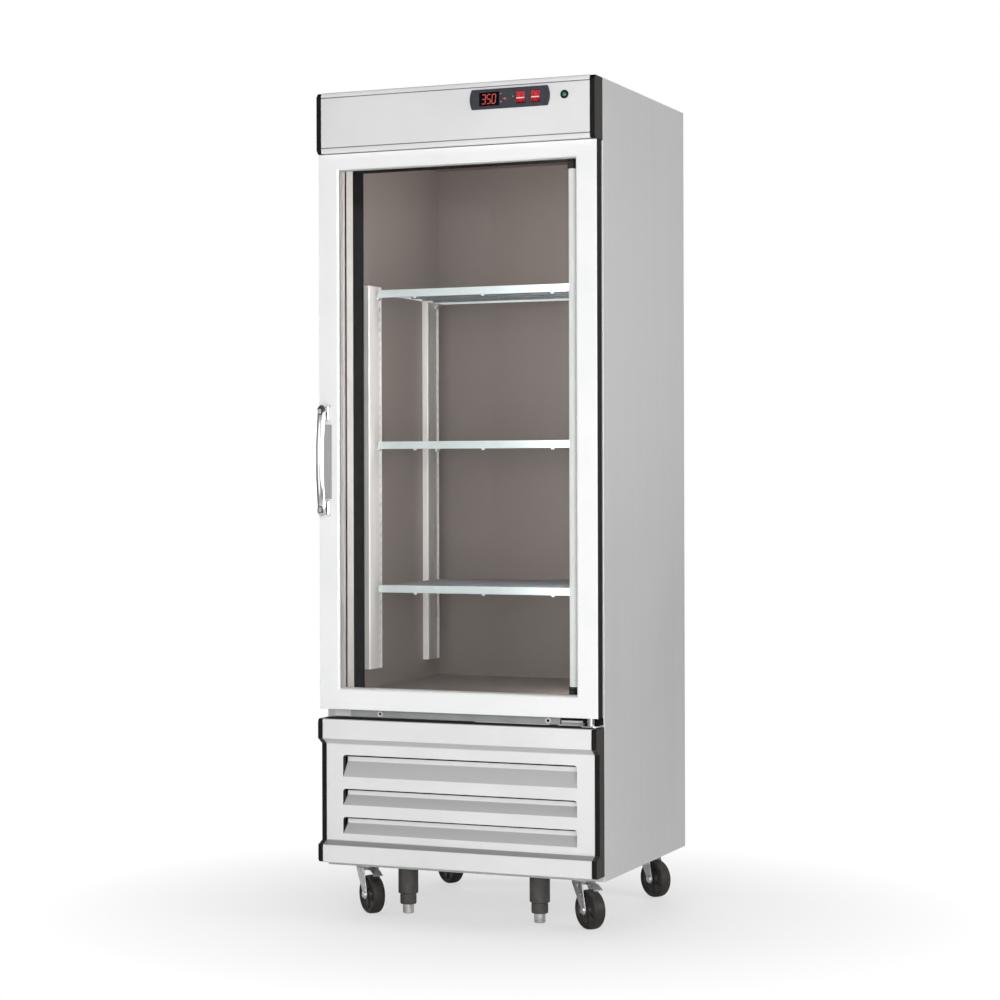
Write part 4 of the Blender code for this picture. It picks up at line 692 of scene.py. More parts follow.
def mitred(outer, inner, profile, gap):
    """Four bars of the same profile of (share, y), cut at the corners with a hairline between them."""
    shape = bmesh.new()
    for side in range(4):
        following = (side + 1) % 4
        ends = []
        for corner, other in ((side, following), (following, side)):
            outline = []
            for share, depth in profile:
                places = [Vector(place) for place in between(outer, inner, share)]
                moved = places[corner] + (places[other] - places[corner]).normalized() * gap
                outline.append(shape.verts.new((moved.x, depth, moved.y)))
            ends.append(shape.faces.new(outline))
        bmesh.ops.bridge_loops(shape, edges=ends[0].edges[:] + ends[1].edges[:])
    bmesh.ops.recalc_face_normals(shape, faces=shape.faces)
    return shape


def rounded_outline(left, right, bottom, top, radius, steps=5, corners=(0, 1, 2, 3)):
    """A rectangle with some corners rounded, from the lower left one round by the lower right."""
    sharp = [(left, bottom), (right, bottom), (right, top), (left, top)]
    inward = [(1, 1), (-1, 1), (-1, -1), (1, -1)]
    outline = []
    for number, (across, up) in enumerate(sharp):
        if number not in corners:
            outline.append((across, up))
            continue
        across += inward[number][0] * radius
        up += inward[number][1] * radius
        for step in range(steps + 1):
            angle = math.radians((180 + 90 * number) % 360 + 90 * step / steps)
            outline.append((across + radius * math.cos(angle), up + radius * math.sin(angle)))
    return outline


def rounded_about(across, up, half, rise, radius, steps=5):
    """A rounded rectangle about its middle."""
    return rounded_outline(across - half, across + half, up - rise, up + rise, radius, steps)


def disc_outline(across, up, radius, steps):
    angles = [math.tau * step / steps for step in range(steps)]
    return [(across + radius * math.cos(angle), up + radius * math.sin(angle)) for angle in angles]


def put(name, data):
    """Makes an object at the origin."""
    obj = bpy.data.objects.new(name, data)
    bpy.context.scene.collection.objects.link(obj)
    return obj


def piece(
    name, shape, slot, material, *replaces,
    body="cabinet", wall=0.0, inside=(0, 0, 1), edge=0.0, second=None, facing=None, darker=None,
):
    """Makes a shape an object, with its wall and soft edges by modifiers and a second finish where asked."""
    bmesh.ops.remove_doubles(shape, verts=shape.verts, dist=tiny)
    if wall:
        towards = Vector(inside)
        lean = 0.0
        for face in shape.faces:
            lean += face.normal.dot(face.calc_center_median() - towards) * face.calc_area()
        if lean < 0:
            bmesh.ops.reverse_faces(shape, faces=shape.faces)
    else:
        bmesh.ops.recalc_face_normals(shape, faces=shape.faces)
    for face in shape.faces:
        face.smooth = True
        if facing:
            face.material_index = int(face.normal.dot(Vector(facing)) > 0.7)
        if darker:
            face.material_index = int(darker(face))
    mesh = bpy.data.meshes.new(name)
    shape.to_mesh(mesh)
    shape.free()
    obj = put(name, mesh)
    mesh.materials.append(material)
    if second:
        mesh.materials.append(second)
    if wall:
        thick = obj.modifiers.new("wall", "SOLIDIFY")
        thick.thickness = wall
        thick.offset = -1
        thick.use_even_offset = True
        if second and not facing and not darker:
            thick.material_offset = 1
    if edge:
        round_off = obj.modifiers.new("edges", "BEVEL")
        round_off.width = edge
        round_off.segments = 2
        round_off.limit_method = "ANGLE"
        round_off.angle_limit = math.radians(35)
    level = obj.modifiers.new("normals", "WEIGHTED_NORMAL")
    level.keep_sharp = True
    level.weight = 90
    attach(obj, body)
    if replaces:
        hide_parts(*replaces)
    return obj


def end_caps(part, outline, width, round_corners=()):
    """The moulded caps at both ends of the header or the lower panel, darker in front."""
    for side, label in sides:
        shape = drawn("X", outline, *sorted((side * cap_inner, side * half_width)))
        for corner in round_corners:
            rounded_along(shape, "X", corner, 0.010, 5)
        shape = softened(shape, width, 3)
        tones = {"second": black_moulded, "facing": (0, -1, 0)}
        piece(f"{part}_cap_{label}", shape, "black_plastic", grey_moulded, f"{part}_end_cap_{label}", **tones)


# Case


def build_case():
    for side, label in sides:
        flange = side * (half_width - side_flange)
        path = [(flange, case_front), (side * half_width, case_front), (side * half_width, case_back)]
        shape = folded_sheet("Z", path, base_z, top_z, {1: fold_radius})
        replaced = f"side_panel_{label}"
        piece(f"side_sheet_{label}", shape, "brushed_sheet", brushed, replaced, wall=sheet, edge=clearance)
    edge = half_width - sheet - clearance
    path = [(edge, top_z - pan_flange), (edge, top_z), (-edge, top_z), (-edge, top_z - pan_flange)]
    front, back = case_front + sheet + clearance, case_back - sheet - 2 * clearance
    shape = folded_sheet("Y", path, front, back, {1: fold_radius / 2, 2: fold_radius / 2})
    piece("top_sheet", shape, "brushed_sheet", brushed_top, "top_panel", wall=sheet, edge=clearance)
    opening = (-inner_half + clearance, inner_half - clearance, deck_z + clearance, opening_top - clearance)
    border_half = half_width - side_flange
    border = (-border_half, border_half, machine_ceiling, opening_top + border_rise)
    profile = [(0, case_front), (0, case_front + 0.004), (0.97, case_front + 0.004), (0.97, case_front)]
    shape = framed(border, opening, profile)
    piece("opening_border", shape, "black_plastic", black_moulded, "front_breaker_frame", edge=clearance)
    inner = shrunk(opening, trim_wall)
    trim_front = case_front - 0.0005
    profile = [
        (0, case_front), (0, trim_back), (0.8, trim_back), (0.8, -0.262), (1, -0.264), (1, -0.268),
        (0.7, -0.270), (0.7, -0.2835), (1, trim_front), (0.3, trim_front),
    ]
    piece("opening_trim", framed(opening, inner, profile), "liner_enamel", jamb_grey, edge=0.0002)
    profile = [(0, trim_back), (0, breaker_back), (0.9, breaker_back), (0.9, trim_back)]
    piece("opening_jamb", framed(opening, inner, profile), "black_plastic", jamb_black, edge=0.0002)


# Header

grooves = (header_bottom + header_lip, top_z - header_lip)


def in_groove(face):
    """Whether a face of the header is a side of one of its two grooves."""
    place = face.calc_center_median()
    return place.y < face_y + groove_depth and any(abs(place.z - groove) < groove_depth for groove in grooves)


def build_header():
    front, back = face_y + header_lean, case_front - clearance
    path = [(front + header_return, header_bottom), (front, header_bottom)]
    sunk = ((0, -groove_depth), (groove_depth, 0), (0, groove_depth))
    for groove in grooves:
        path += [(face_y + depth, groove + up) for depth, up in sunk]
    path += [(front, top_z), (back, top_z)]
    shape = folded_sheet("X", path, -cap_inner + clearance, cap_inner - clearance, {1: 0.002, 8: 0.003})
    # The grooves' sides take a dark grey finish: painted shadow in the grooves.
    tones = {"second": groove_shadow_paint, "darker": in_groove}
    piece("header_sheet", shape, "silver_sheet", header_silver, "control_header", wall=header_wall, **tones)
    front, bottom = face_y - cap_proud, header_bottom - cap_proud
    outline = [
        (front + cap_chamfer, bottom), (back, bottom), (back, top_z),
        (front + cap_chamfer, top_z), (front, top_z - cap_chamfer), (front, bottom + cap_chamfer),
    ]
    end_caps("header", outline, 0.0016)


# Controller

bezel_front = face_y - bezel_thickness
rocker_lift = bezel_front - rocker_proud
window = (window_left, window_right, control_z - window_rise, control_z + window_rise)
digit_bars = {
    "top": (0.5, 1.0, False),
    "middle": (0.5, 0.5, False),
    "bottom": (0.5, 0.0, False),
    "upper left": (0, 0.75, True),
    "upper right": (1, 0.75, True),
    "lower left": (0, 0.25, True),
    "lower right": (1, 0.25, True),
}
digits = {
    0.0795: ("top", "middle", "bottom", "upper right", "lower right"),
    0.0928: ("top", "middle", "bottom", "upper left", "lower right"),
    0.1061: ("top", "bottom", "upper left", "upper right", "lower left", "lower right"),
}


def bezel_outline(shrink):
    """The controller's front with bowed ends."""
    half, rise = bezel_half - shrink, bezel_rise - shrink
    end = [(half - bezel_bow * share * share, rise * share) for share in (1, 0.66, 0.33, 0, -0.33, -0.66, -1)]
    left_end = [(bezel_x - across, control_z + up) for across, up in end]
    right_end = [(bezel_x + across, control_z - up) for across, up in end]
    return left_end + right_end


def bar_outline(left, bar):
    """One bar of a digit, with pointed ends, leaning to the right with its height."""
    share, height_share, upright = digit_bars[bar]
    bottom = control_z - digit_height / 2
    middle = (left + digit_width * share, bottom + digit_height * height_share)
    half = ((digit_height / 2 if upright else digit_width) - 0.0007) / 2
    rise = bar_width / 2
    tip = half - rise
    flat = [(-half, 0), (-tip, -rise), (tip, -rise), (half, 0), (tip, rise), (-tip, rise)]
    if upright:
        flat = [(-up, across) for across, up in flat]
    moved = [(middle[0] + across, middle[1] + up) for across, up in flat]
    return [(across + (up - bottom) * digit_slant, up) for across, up in moved]


def build_bezel():
    """The controller's front with ribs at its ends, and the dark well behind it."""
    holes = [rounded_outline(*window, 0.0025)]
    for across in rocker_places.values():
        half, rise = rocker_half + rocker_gap, rocker_rise + 2 * rocker_gap
        holes.append(rounded_about(across, control_z, half, rise, 0.0012, 2))
    raised_back = bezel_front + bezel_step + clearance
    shapes = [
        drawn("Y", bezel_outline(0), bezel_front + bezel_step, face_y - clearance, holes),
        drawn("Y", bezel_outline(bezel_rim), bezel_front, raised_back, holes),
    ]
    for side in (-1, 1):
        for number in range(4):
            across = bezel_x + side * (bezel_half - 0.0075 - 0.0028 * number)
            rib = rounded_about(across, control_z, 0.0007, bezel_rise - bezel_rim - 0.004, 0.0006, 2)
            shapes.append(drawn("Y", rib, bezel_front - 0.0005, bezel_front + 0.0006))
    piece("controller_front", gathered(shapes), "charcoal_plastic", charcoal, "controller_bezel", edge=0.0004)
    well = rounded_about(bezel_x, control_z, bezel_half - 0.012, 0.0185, 0.002)
    shape = softened(drawn("Y", well, bezel_front + 0.0038, face_y + 0.036), 0.0004)
    piece("controller_well", shape, "charcoal_plastic", black_moulded)


def build_display():
    """The lens with its red figures, the arrow lamp beside it and three small keys."""
    outline = rounded_outline(*shrunk(window, clearance), 0.0022)
    lens_front = bezel_front + lens_sink
    lens = softened(drawn("Y", outline, lens_front, lens_front + 0.0025), 0.0003)
    piece("display_lens", lens, "display_black", lens_black, "controller_display")
    outlines = [bar_outline(left, bar) for left, lit in digits.items() for bar in lit]
    shape = gathered([drawn("Y", outline, lens_front - 0.00015, lens_front + 0.0004) for outline in outlines])
    piece("display_figures", shape, "red_plastic", digit_red)
    arrow = [(0.1345, control_z - 0.0010), (0.1455, control_z - 0.0052), (0.1430, control_z + 0.0024)]
    shape = softened(drawn("Y", arrow, bezel_front - 0.0004, bezel_front + 0.0006), 0.0003)
    piece("running_light", shape, "red_plastic", digit_red)
    key = [(0, -0.0006), (0.0011, -0.0004), (0.0014, 0.0005), (0, 0.0005)]
    places = [(0.1308, 0.0110), (0.1308, -0.0085), (0.1620, 0.0030)]
    keys = [turned("Y", (across, bezel_front, control_z + up), key, 16) for across, up in places]
    piece("controller_keys", gathered(keys), "charcoal_plastic", reveal_grey)


def build_rockers():
    """Two rockers with a hollowed front, ridges and a printed line, tilted about their own axes."""
    middle, back = bezel_front + rocker_depth / 2, bezel_front + rocker_depth
    upper = [(rocker_lift, rocker_rise), (middle, rocker_rise), (back, rocker_rise / 2)]
    lower = [(depth, -up) for depth, up in upper]
    slope_end = rocker_lift + rocker_dip
    hollow = [(slope_end, -0.002), (bezel_front, 0), (slope_end, 0.002)]
    outline = [(depth, control_z + up) for depth, up in lower[:1] + hollow + upper + lower[:0:-1]]
    tilt = Matrix.Rotation(math.radians(-rocker_tilt), 3, "X")
    for label, across in rocker_places.items():
        body = [softened(drawn("X", outline, across - rocker_half, across + rocker_half), 0.0007, 3)]
        for side in (-1, 1):
            for number in range(3):
                rise = 0.0060 + 0.0020 * number
                up = control_z + side * rise
                sink = rocker_lift + rocker_dip * (1 - (rise - 0.002) / (rocker_rise - 0.002))
                low = (across - rocker_half + 0.003, sink - 0.0003, up - 0.0004)
                high = (across + rocker_half - 0.003, sink + 0.0006, up + 0.0004)
                body.append(soft_block(low, high, 0.0002))
        low = (across - rocker_half + 0.0012, rocker_lift + 0.0010, control_z - 0.0042)
        high = (across + rocker_half - 0.0012, rocker_lift + 0.0024, control_z - 0.0016)
        line = soft_block(low, high, 0.0003)
        shape = gathered(body)
        for turning in (shape, line):
            bmesh.ops.rotate(turning, cent=(across, middle, control_z), matrix=tilt, verts=turning.verts)
        rocker = f"rocker_{label}"
        piece(f"{rocker}_cap", shape, "red_plastic", rocker_red, f"rocker_switch_{label}", body=rocker)
        piece(f"{rocker}_line", line, "red_plastic", print_white, body=rocker)


def build_pilot_lamp():
    """A black ring round a green dome."""
    centre = (lamp_x, face_y, control_z)
    ring = [
        (lens_radius, 0.0010), (lens_radius, -0.0030), (lens_radius + 0.0010, -0.0036),
        (lamp_radius - 0.0022, -0.0032), (lamp_radius - 0.0004, -0.0018), (lamp_radius, -0.0008),
        (lamp_radius, -clearance), (lamp_radius - 0.0020, 0.0010), (lens_radius, 0.0010),
    ]
    piece("pilot_ring", turned("Y", centre, ring), "green_lens", black_moulded, "pilot_lamp", edge=0.0002)
    dome_radius = lens_radius * 0.99
    dome = [(0, -0.0042)]
    for step in range(1, 6):
        angle = math.radians(18 * step)
        dome.append((dome_radius * math.sin(angle), -0.0020 - 0.0022 * math.cos(angle)))
    dome += [(dome_radius, 0.0008), (0, 0.0008)]
    piece("pilot_lens", turned("Y", centre, dome), "green_lens", lamp_green)


# Lower panel


def grille_path(offset):
    """The lower panel's front from below: a band, the recess and a band, as (y, z)."""
    front = face_y - offset
    recess = front + recess_depth
    lower_top, upper_bottom = grille_bottom + lower_band, grille_top - upper_band
    return [
        (front, grille_bottom), (front, lower_top), (recess, lower_top + lower_step),
        (recess, upper_bottom - upper_step), (front, upper_bottom), (front, grille_top),
    ]


def build_louvre_panel():
    path = [(face_y + 0.028, grille_bottom)] + grille_path(0) + [(face_y + 0.020, grille_top)]
    shape = folded_sheet("X", path, -cap_inner + clearance, cap_inner - clearance, {})
    recess = face_y + recess_depth
    wall = [face for face in shape.faces if all(abs(vertex.co.y - recess) < tiny for vertex in face.verts)]
    edges = list(wall[0].edges)
    bmesh.ops.delete(shape, geom=wall, context="FACES_ONLY")
    for bottom, top in louvre_heights:
        opening = rounded_outline(-louvre_half, louvre_half, bottom, top, louvre_corner, 6, (2, 3))
        edges += line_through(shape, "Y", opening, recess, True)
    bmesh.ops.triangle_fill(shape, use_beauty=True, edges=edges)
    folds = {1: grille_fold, 2: 0.0016, 3: 0.0022, 4: 0.0030, 5: 0.0016, 6: grille_fold}
    for number, radius in folds.items():
        rounded_along(shape, "X", path[number], radius)
    # The panel's inner side is black: painted shade seen through the slots.
    walls = {"wall": grille_sheet, "edge": 0.0003, "second": black_moulded}
    piece("louvred_front", shape, "silver_sheet", silver, "louvre_panel", **walls)
    leaves = []
    left, right, back = -louvre_half + leaf_inset, louvre_half - grille_sheet, recess + louvre_depth
    for bottom, top in louvre_heights:
        lip = top - louvre_slot
        leaf = [(back, lip), (back, lip - louvre_lip), (recess + 0.0002, bottom - 0.0002)]
        leaves.append(folded_sheet("X", leaf, left, right, {1: 0.0012}))
    shape = gathered(leaves)
    for corner in shape.verts:
        if corner.co.y < recess + 0.004 and corner.co.x < 0:
            corner.co.x = -louvre_half + 0.0006
    # The leaves' back sides are black: painted shade in the slots.
    walls = {"wall": grille_sheet / 2, "inside": (0, -0.10, 0.20), "edge": 0.0002, "second": black_moulded}
    piece("louvre_leaves", shape, "silver_sheet", silver, **walls)
    # A black pocket behind the louvres: painted shade in their slots.
    low, high = louvre_heights[-1][0] - 0.014, louvre_heights[0][1] + 0.006
    front, back = recess + 0.002, recess + 0.030
    reach = louvre_half + 0.006
    pocket = folded_sheet("X", [(front, high), (back, high), (back, low), (front, low)], -reach, reach, {})
    piece("louvre_shade_backing", pocket, "black_plastic", black_moulded, wall=0.0008, inside=(0, -0.30, 0.31))


def build_sill():
    """What fills the gap between the door and the lower panel."""
    wall = case_front - clearance
    rail = soft_block((-0.300, -0.300, sill_bottom), (0.262, wall, 0.5258), 0.0012, 3)
    piece("sill_strip", rail, "silver_sheet", sill_grey, "sill_rail")
    plate = soft_block((-0.3485, -0.2930, sill_bottom), (-0.3015, wall, 0.5252), 0.0008)
    bar = soft_block((0.2655, -0.3020, 0.5132), (0.3180, -0.2902, 0.5190), 0.0012, 3)
    piece("sill_plate", gathered([plate, bar]), "silver_sheet", silver)
    # A darker grey ledge under the bright bar: painted shade standing in for the hinge plate's shaded edge.
    ledge = soft_block((0.2655, -0.3005, sill_bottom), (0.3220, -0.2902, 0.5124), 0.0010)
    piece("sill_ledge", ledge, "silver_sheet", sill_grey)
    # A black block behind the hinge bar: painted shade in the gap there.
    recess = soft_block((0.2625, -0.2900, 0.5066), (0.3694, wall, 0.5268), 0.0004)
    piece("hinge_shade_block", recess, "black_plastic", black_moulded)
    # A black strip on the lower panel's top edge: painted shadow in the gap under the rail.
    strip = soft_block((-0.355, -0.3405, 0.5041), (0.3575, -0.2990, 0.5062), 0.0006)
    piece("sill_shade_strip", strip, "gasket_rubber", rubber)
    ring = [
        (0.0034, -0.0010), (0.0040, -0.0026), (0.0066, -0.0030), (0.0078, -0.0016), (0.0078, 0.001),
        (0.0034, 0.001), (0.0034, -0.0010),
    ]
    plug = [(0, -0.0008), (0.0033, -0.0008), (0.0033, 0.001), (0, 0.001)]
    for name, profile, steps, tone in (("rings", ring, 32, print_white), ("plugs", plug, 24, black_moulded)):
        shapes = [turned("Y", (across, -0.300, sill_cap_z), profile, steps) for across in sill_cap_places]
        piece(f"sill_cap_{name}", gathered(shapes), "silver_sheet", tone)


def build_lower_front():
    build_louvre_panel()
    wall = case_front - clearance
    outline = grille_path(cap_proud) + [(wall, grille_top), (wall, grille_bottom)]
    end_caps("grille", outline, 0.0014, (outline[0], outline[5]))
    build_sill()


# Hinges


def hinge_bracket(end, low, right, reach, tail, flange, screws, material, slot):
    """A plate with a rounded front over or under the door, and a screwed flange against the case."""
    wall = case_front - clearance
    outline = rounded_outline(right - reach, right, hinge_y - tail, wall, 0.012, 8, (0, 1))
    shapes = [softened(drawn("Z", outline, low, low + hinge_thickness), 0.0010, 3, 50)]
    front, left = wall - hinge_thickness, right - reach
    foot = low + hinge_thickness / 2
    shapes.append(soft_block((left, front, foot), (left + flange, wall, low + 0.018), 0.0008))
    head = [(0, -0.0008), (0.0012, -0.0008), (0.0016, -0.0018), (0.0034, -0.0014), (0.0042, 0), (0, 0.0005)]
    for number in range(screws):
        shapes.append(turned("Y", (left + flange * (number + 0.5) / screws, front, low + 0.0105), head, 24))
    piece(f"{end}_hinge_plate", gathered(shapes), slot, material, f"{end}_hinge_bracket")


def build_hinges():
    hinge_bracket("lower", 0.5065, half_width - clearance, 0.048, 0.0205, 0.018, 1, chrome, "chrome")
    hinge_bracket("upper", 1.9370, cap_inner - clearance, 0.070, 0.0160, 0.070, 2, zinc, "zinc_steel")
    lower = [
        (0, 0.550), (0.0034, 0.550), (0.004, 0.5494), (0.004, 0.5277), (0.0082, 0.5277), (0.0088, 0.5271),
        (0.0088, 0.5109), (0.0082, 0.5103), (0.004, 0.5103), (0.004, 0.5065), (0, 0.5065),
    ]
    upper = [
        (0, 1.9438), (0.0060, 1.9438), (0.007, 1.9430), (0.007, 1.9408), (0.004, 1.9408), (0.004, 1.9106),
        (0.0034, 1.9100), (0, 1.9100),
    ]
    for end, profile, tone in (("lower", lower, chrome), ("upper", upper, zinc)):
        shape = turned("Z", (hinge_x, hinge_y, 0), profile, 32)
        piece(f"{end}_hinge_post", shape, "zinc_steel", tone, f"{end}_hinge_pin", edge=0.0002)


# Door


def door_ring(name, profile, slot, material, *replaces, edge=0.0002):
    """A ring of the door between its outline and the glass opening."""
    piece(name, framed(door_outer, door_inner, profile), slot, material, *replaces, body="door", edge=edge)


def build_door():
    relief = [
        (0, skin), (0, 0.0011), (0.012, 0.0005), (0.035, 0.0003), (0.28, 0.00005), (0.31, 0.0006),
        (0.33, 0.0001), (0.925, 0), (0.945, 0.0002), (0.995, 0.0030), (1, 0.0036), (1, 0.0078),
        (0.94, 0.0078), (0.94, skin + 0.001),
    ]
    shape = mitred(door_outer, door_inner, [(share, door_face + depth) for share, depth in relief], 0.00015)
    piece("door_face_frame", shape, "silver_sheet", door_white, "door_frame", body="door")
    skin_back = door_face + skin
    core = [
        (0.004, skin_back), (0.004, -0.3085), (0.016, -0.3078), (0.016, -0.3062), (0.004, -0.3055),
        (0.004, door_back), (0.93, door_back), (0.93, skin_back),
    ]
    door_ring("door_core", core, "dark_plastic", dark_core, "door_core_frame", edge=0.0004)
    front, back = glass_fronts["outer"] + glass_thickness, glass_fronts["inner"]
    spacer = [
        (0.95, front + clearance), (0.95, back - clearance), (1.05, back - clearance),
        (1.06, back - 0.0016), (1.06, front + 0.0016), (1.05, front + clearance),
    ]
    door_ring("glass_spacer", spacer, "silver_sheet", spacer_silver)
    front = back + glass_thickness + clearance
    bead = [
        (0.93, front), (0.93, door_back + 0.0002), (0.985, door_back - 0.0004), (1.0, door_back - 0.0016),
        (1.0, door_back - 0.0032), (0.985, door_back - 0.0038), (1.0, door_back - 0.0044), (1.0, front),
    ]
    door_ring("glazing_bead", bead, "light_grey_plastic", reveal_grey)
    front, back = door_face + 0.0079, glass_fronts["outer"] - 0.0001
    seal = [(0.955, front), (0.955, back), (1.012, back), (1.012, front)]
    door_ring("glass_seal", seal, "light_grey_plastic", reveal_grey, edge=0.0)
    build_gasket()
    build_handle()
    for node_name in ("glass_outer_pane", "glass_inner_pane"):
        carried(node_name, glass)


def build_gasket():
    """The magnetic gasket with its folds, and its pale inner lip, seen through the glass."""
    front, back = door_back + clearance, case_front - clearance
    half = [
        (0.27, front), (0.27, front + 0.0046), (0.0, front + 0.0054), (0.03, front + 0.0070),
        (0.0, front + 0.0088), (0.03, back - 0.0006), (0.08, back), (0.30, back), (0.34, back - 0.0010),
        (0.40, back),
    ]
    profile = half + [(1 - share, depth) for share, depth in reversed(half)]
    shape = framed(gasket_outer, shrunk(gasket_outer, gasket_width), profile)
    piece("door_seal", shape, "gasket_rubber", rubber, "door_gasket", body="door", edge=0.0002)
    front, back = door_back + 0.0008, case_front - 0.0008
    fold = (front + back) / 2
    folds = [(0.8, back), (1, fold + 0.0012), (0.5, fold), (1, fold - 0.0012), (0.8, front)]
    profile = [(0, front), (0, back)] + folds
    shape = framed(seal_lip_outer, shrunk(seal_lip_outer, seal_lip_width), profile)
    piece("door_seal_lip", shape, "gasket_rubber", seal_lip, body="door")


def build_handle():
    """A thick bow between two blocks, over a flat back plate."""
    foot_front = handle_base - 0.008
    shapes = []
    for side in (-1, 1):
        middle = handle_middle + side * (handle_half - 0.017)
        outline = rounded_about(handle_x, middle, 0.0088, 0.0215, 0.004)
        shapes.append(softened(drawn("Y", outline, foot_front, handle_base), 0.0016, 3, 50))
        collar = rounded_about(handle_x, middle, 0.0068, 0.0190, 0.0030, 4)
        shapes.append(softened(drawn("Y", collar, foot_front - 0.0026, foot_front + 0.001), 0.0010, 2, 50))
    chord = 2 * (handle_half - 0.0184)
    arc = chord * chord / (8 * bow_sagitta) + bow_sagitta / 2
    lean = math.degrees(math.asin(chord / 2 / arc))
    start = handle_base - 0.0005
    rise = start - bow_crest - bow_sagitta - bow_bend * math.cos(math.radians(lean))
    corner = (lean - 90, bow_bend, (1, 0, 0))
    moves = [rise, corner, (-2 * lean, arc, (1, 0, 0)), corner, rise]
    foot = (handle_x, start, handle_middle - handle_half)
    bow = bent_rod(foot, (0, -1, 0), bow_thickness / 2, moves, 24)
    for vertex in bow.verts:
        vertex.co.x = handle_x + (vertex.co.x - handle_x) * bow_width / bow_thickness
    piece("handle_bow", gathered(shapes + [bow]), "chrome", chrome, "door_handle", body="door")
    for name, grow, front, tone in (
        ("handle_covers", 0, -0.3768, plate_grey),
        ("handle_cover_rims", 0.0016, -0.3762, black_moulded),
    ):
        shapes = []
        for side in (-1, 1):
            middle = handle_middle + side * (handle_half - 0.0145)
            outline = rounded_about(handle_x - 0.0003, middle, 0.0045 + grow, 0.0065 + grow, 0.0020, 4)
            shapes.append(softened(drawn("Y", outline, front, -0.3640), 0.0005, 2, 50))
        piece(name, gathered(shapes), "chrome", tone, body="door")
    outline = rounded_about(handle_x, handle_middle - 0.003, 0.0140, 0.094, 0.002)
    plate = softened(drawn("Y", outline, handle_base - 0.0014, handle_base), 0.0004, 2, 50)
    piece("handle_plate", plate, "chrome", plate_grey, body="door")


# Inside


def build_pilaster(end, front, side, label):
    """A slotted channel with a strip on its face, lighter on the front channels and darker on the rear ones
    as painted light and shade, and clips for the shelves.
    """
    wall, proud = side * (inner_half - clearance), side * pilaster_face
    back = front + pilaster_width
    shape = bmesh.new()
    field = [(front, pilaster_bottom), (back, pilaster_bottom), (back, pilaster_top), (front, pilaster_top)]
    edges = line_through(shape, "X", field, proud, True)
    near, far = back - 0.010 - slot_half, back - 0.010 + slot_half
    for number in range(int((pilaster_top - pilaster_bottom) / slot_pitch)):
        low = pilaster_bottom + slot_pitch * (number + 0.4)
        high = low + slot_height
        edges += line_through(shape, "X", [(near, low), (far, low), (far, high), (near, high)], proud, True)
    bmesh.ops.triangle_fill(shape, use_beauty=True, edges=edges)
    for place in (front, back):
        folded_rim(shape, 1, place, (wall - proud, 0, 0), (proud, place))
    bmesh.ops.recalc_face_normals(shape, faces=shape.faces)
    name = f"pilaster_{end}_{label}"
    inside = (side * inner_half * 2, (front + back) / 2, 1.1)
    piece(f"{name}_channel", shape, "silver_sheet", pilaster_paint, name, wall=0.0012, inside=inside)
    near, far = sorted((proud + side * 0.0004, proud - side * 0.0005))
    low, high = (near, front + 0.007, pilaster_bottom), (far, back - 0.018, pilaster_top - 0.0004)
    # Painted light and shade: the front strips take a lighter copy of the finish, the rear strips a darker
    # one.
    tone = pilaster_lit_face if end == "front" else pilaster_shaded_face
    piece(f"{name}_face", soft_block(low, high, 0.0002), "silver_sheet", tone)
    clips = []
    for height in shelf_heights.values():
        top = height - 2 * wire_radius - 2 * rod_radius - clearance + 0.001
        outline = [
            (side * (pilaster_face + 0.0008), top - 0.016), (side * (pilaster_face - 0.0045), top - 0.012),
            (side * 0.291, top - 0.003), (side * 0.291, top - 0.0006),
            (side * (pilaster_face + 0.0008), top - 0.0006),
        ]
        clips.append(softened(drawn("Y", outline, back - 0.026, back - 0.008), 0.0006))
    piece(f"{name}_clips", gathered(clips), "zinc_steel", zinc)


def build_shelf(label, height):
    """A rod frame with a pale bar along its front, under a deck of wires that run from front to back, the
    deck in a darker copy of the coating as painted shade.
    """
    deck = height - wire_radius
    rod = height - 2 * wire_radius - rod_radius
    lower = rod - rail_drop
    depth = shelf_back - shelf_front
    corner = (90.0, rod_bend, (0, 0, 1))
    moves = [2 * (shelf_half - rod_bend), corner, depth - 2 * rod_bend, corner] * 2
    border = [bent_rod((-shelf_half + rod_bend, shelf_front, rod), (1, 0, 0), rod_radius, moves, 12)]
    fall, turn = rail_drop - 0.006, (-90.0, 0.006, (0, 1, 0))
    moves = [fall, turn, 2 * shelf_half - 0.020, turn, fall]
    border.append(bent_rod((-shelf_half + 0.004, shelf_front + 0.001, rod), (0, 0, -1), wire_radius, moves))
    low = (-shelf_half + 0.0045, shelf_front - 0.0038, lower - wire_radius * 0.6)
    high = (shelf_half - 0.0045, shelf_front - 0.0010, deck + wire_radius * 0.7)
    border.append(soft_block(low, high, 0.0012, 3))
    wires = []
    for share in (1 / 6, 1 / 3, 1 / 2, 2 / 3, 5 / 6):
        start = (-shelf_half, shelf_front + depth * share, rod)
        wires.append(bent_rod(start, (1, 0, 0), 0.0025, [2 * shelf_half]))
    count = int(2 * shelf_half / wire_pitch)
    for number in range(count):
        start = (wire_pitch * (number - (count - 1) / 2), shelf_back + 0.001, deck)
        wires.append(bent_rod(start, (0, -1, 0), wire_radius * 0.8, [depth + 0.0015], 6))
    for across in (-0.188, 0, 0.188):
        low = (across - 0.004, shelf_front - 0.0030, lower - 0.006)
        border.append(soft_block(low, (across + 0.004, shelf_front, lower), 0.0008))
    piece(f"wire_shelf_{label}", gathered(border), "coated_wire", shelf_coat, f"shelf_{label}")
    piece(f"shelf_deck_{label}", gathered(wires), "coated_wire", shelf_shade_coat)


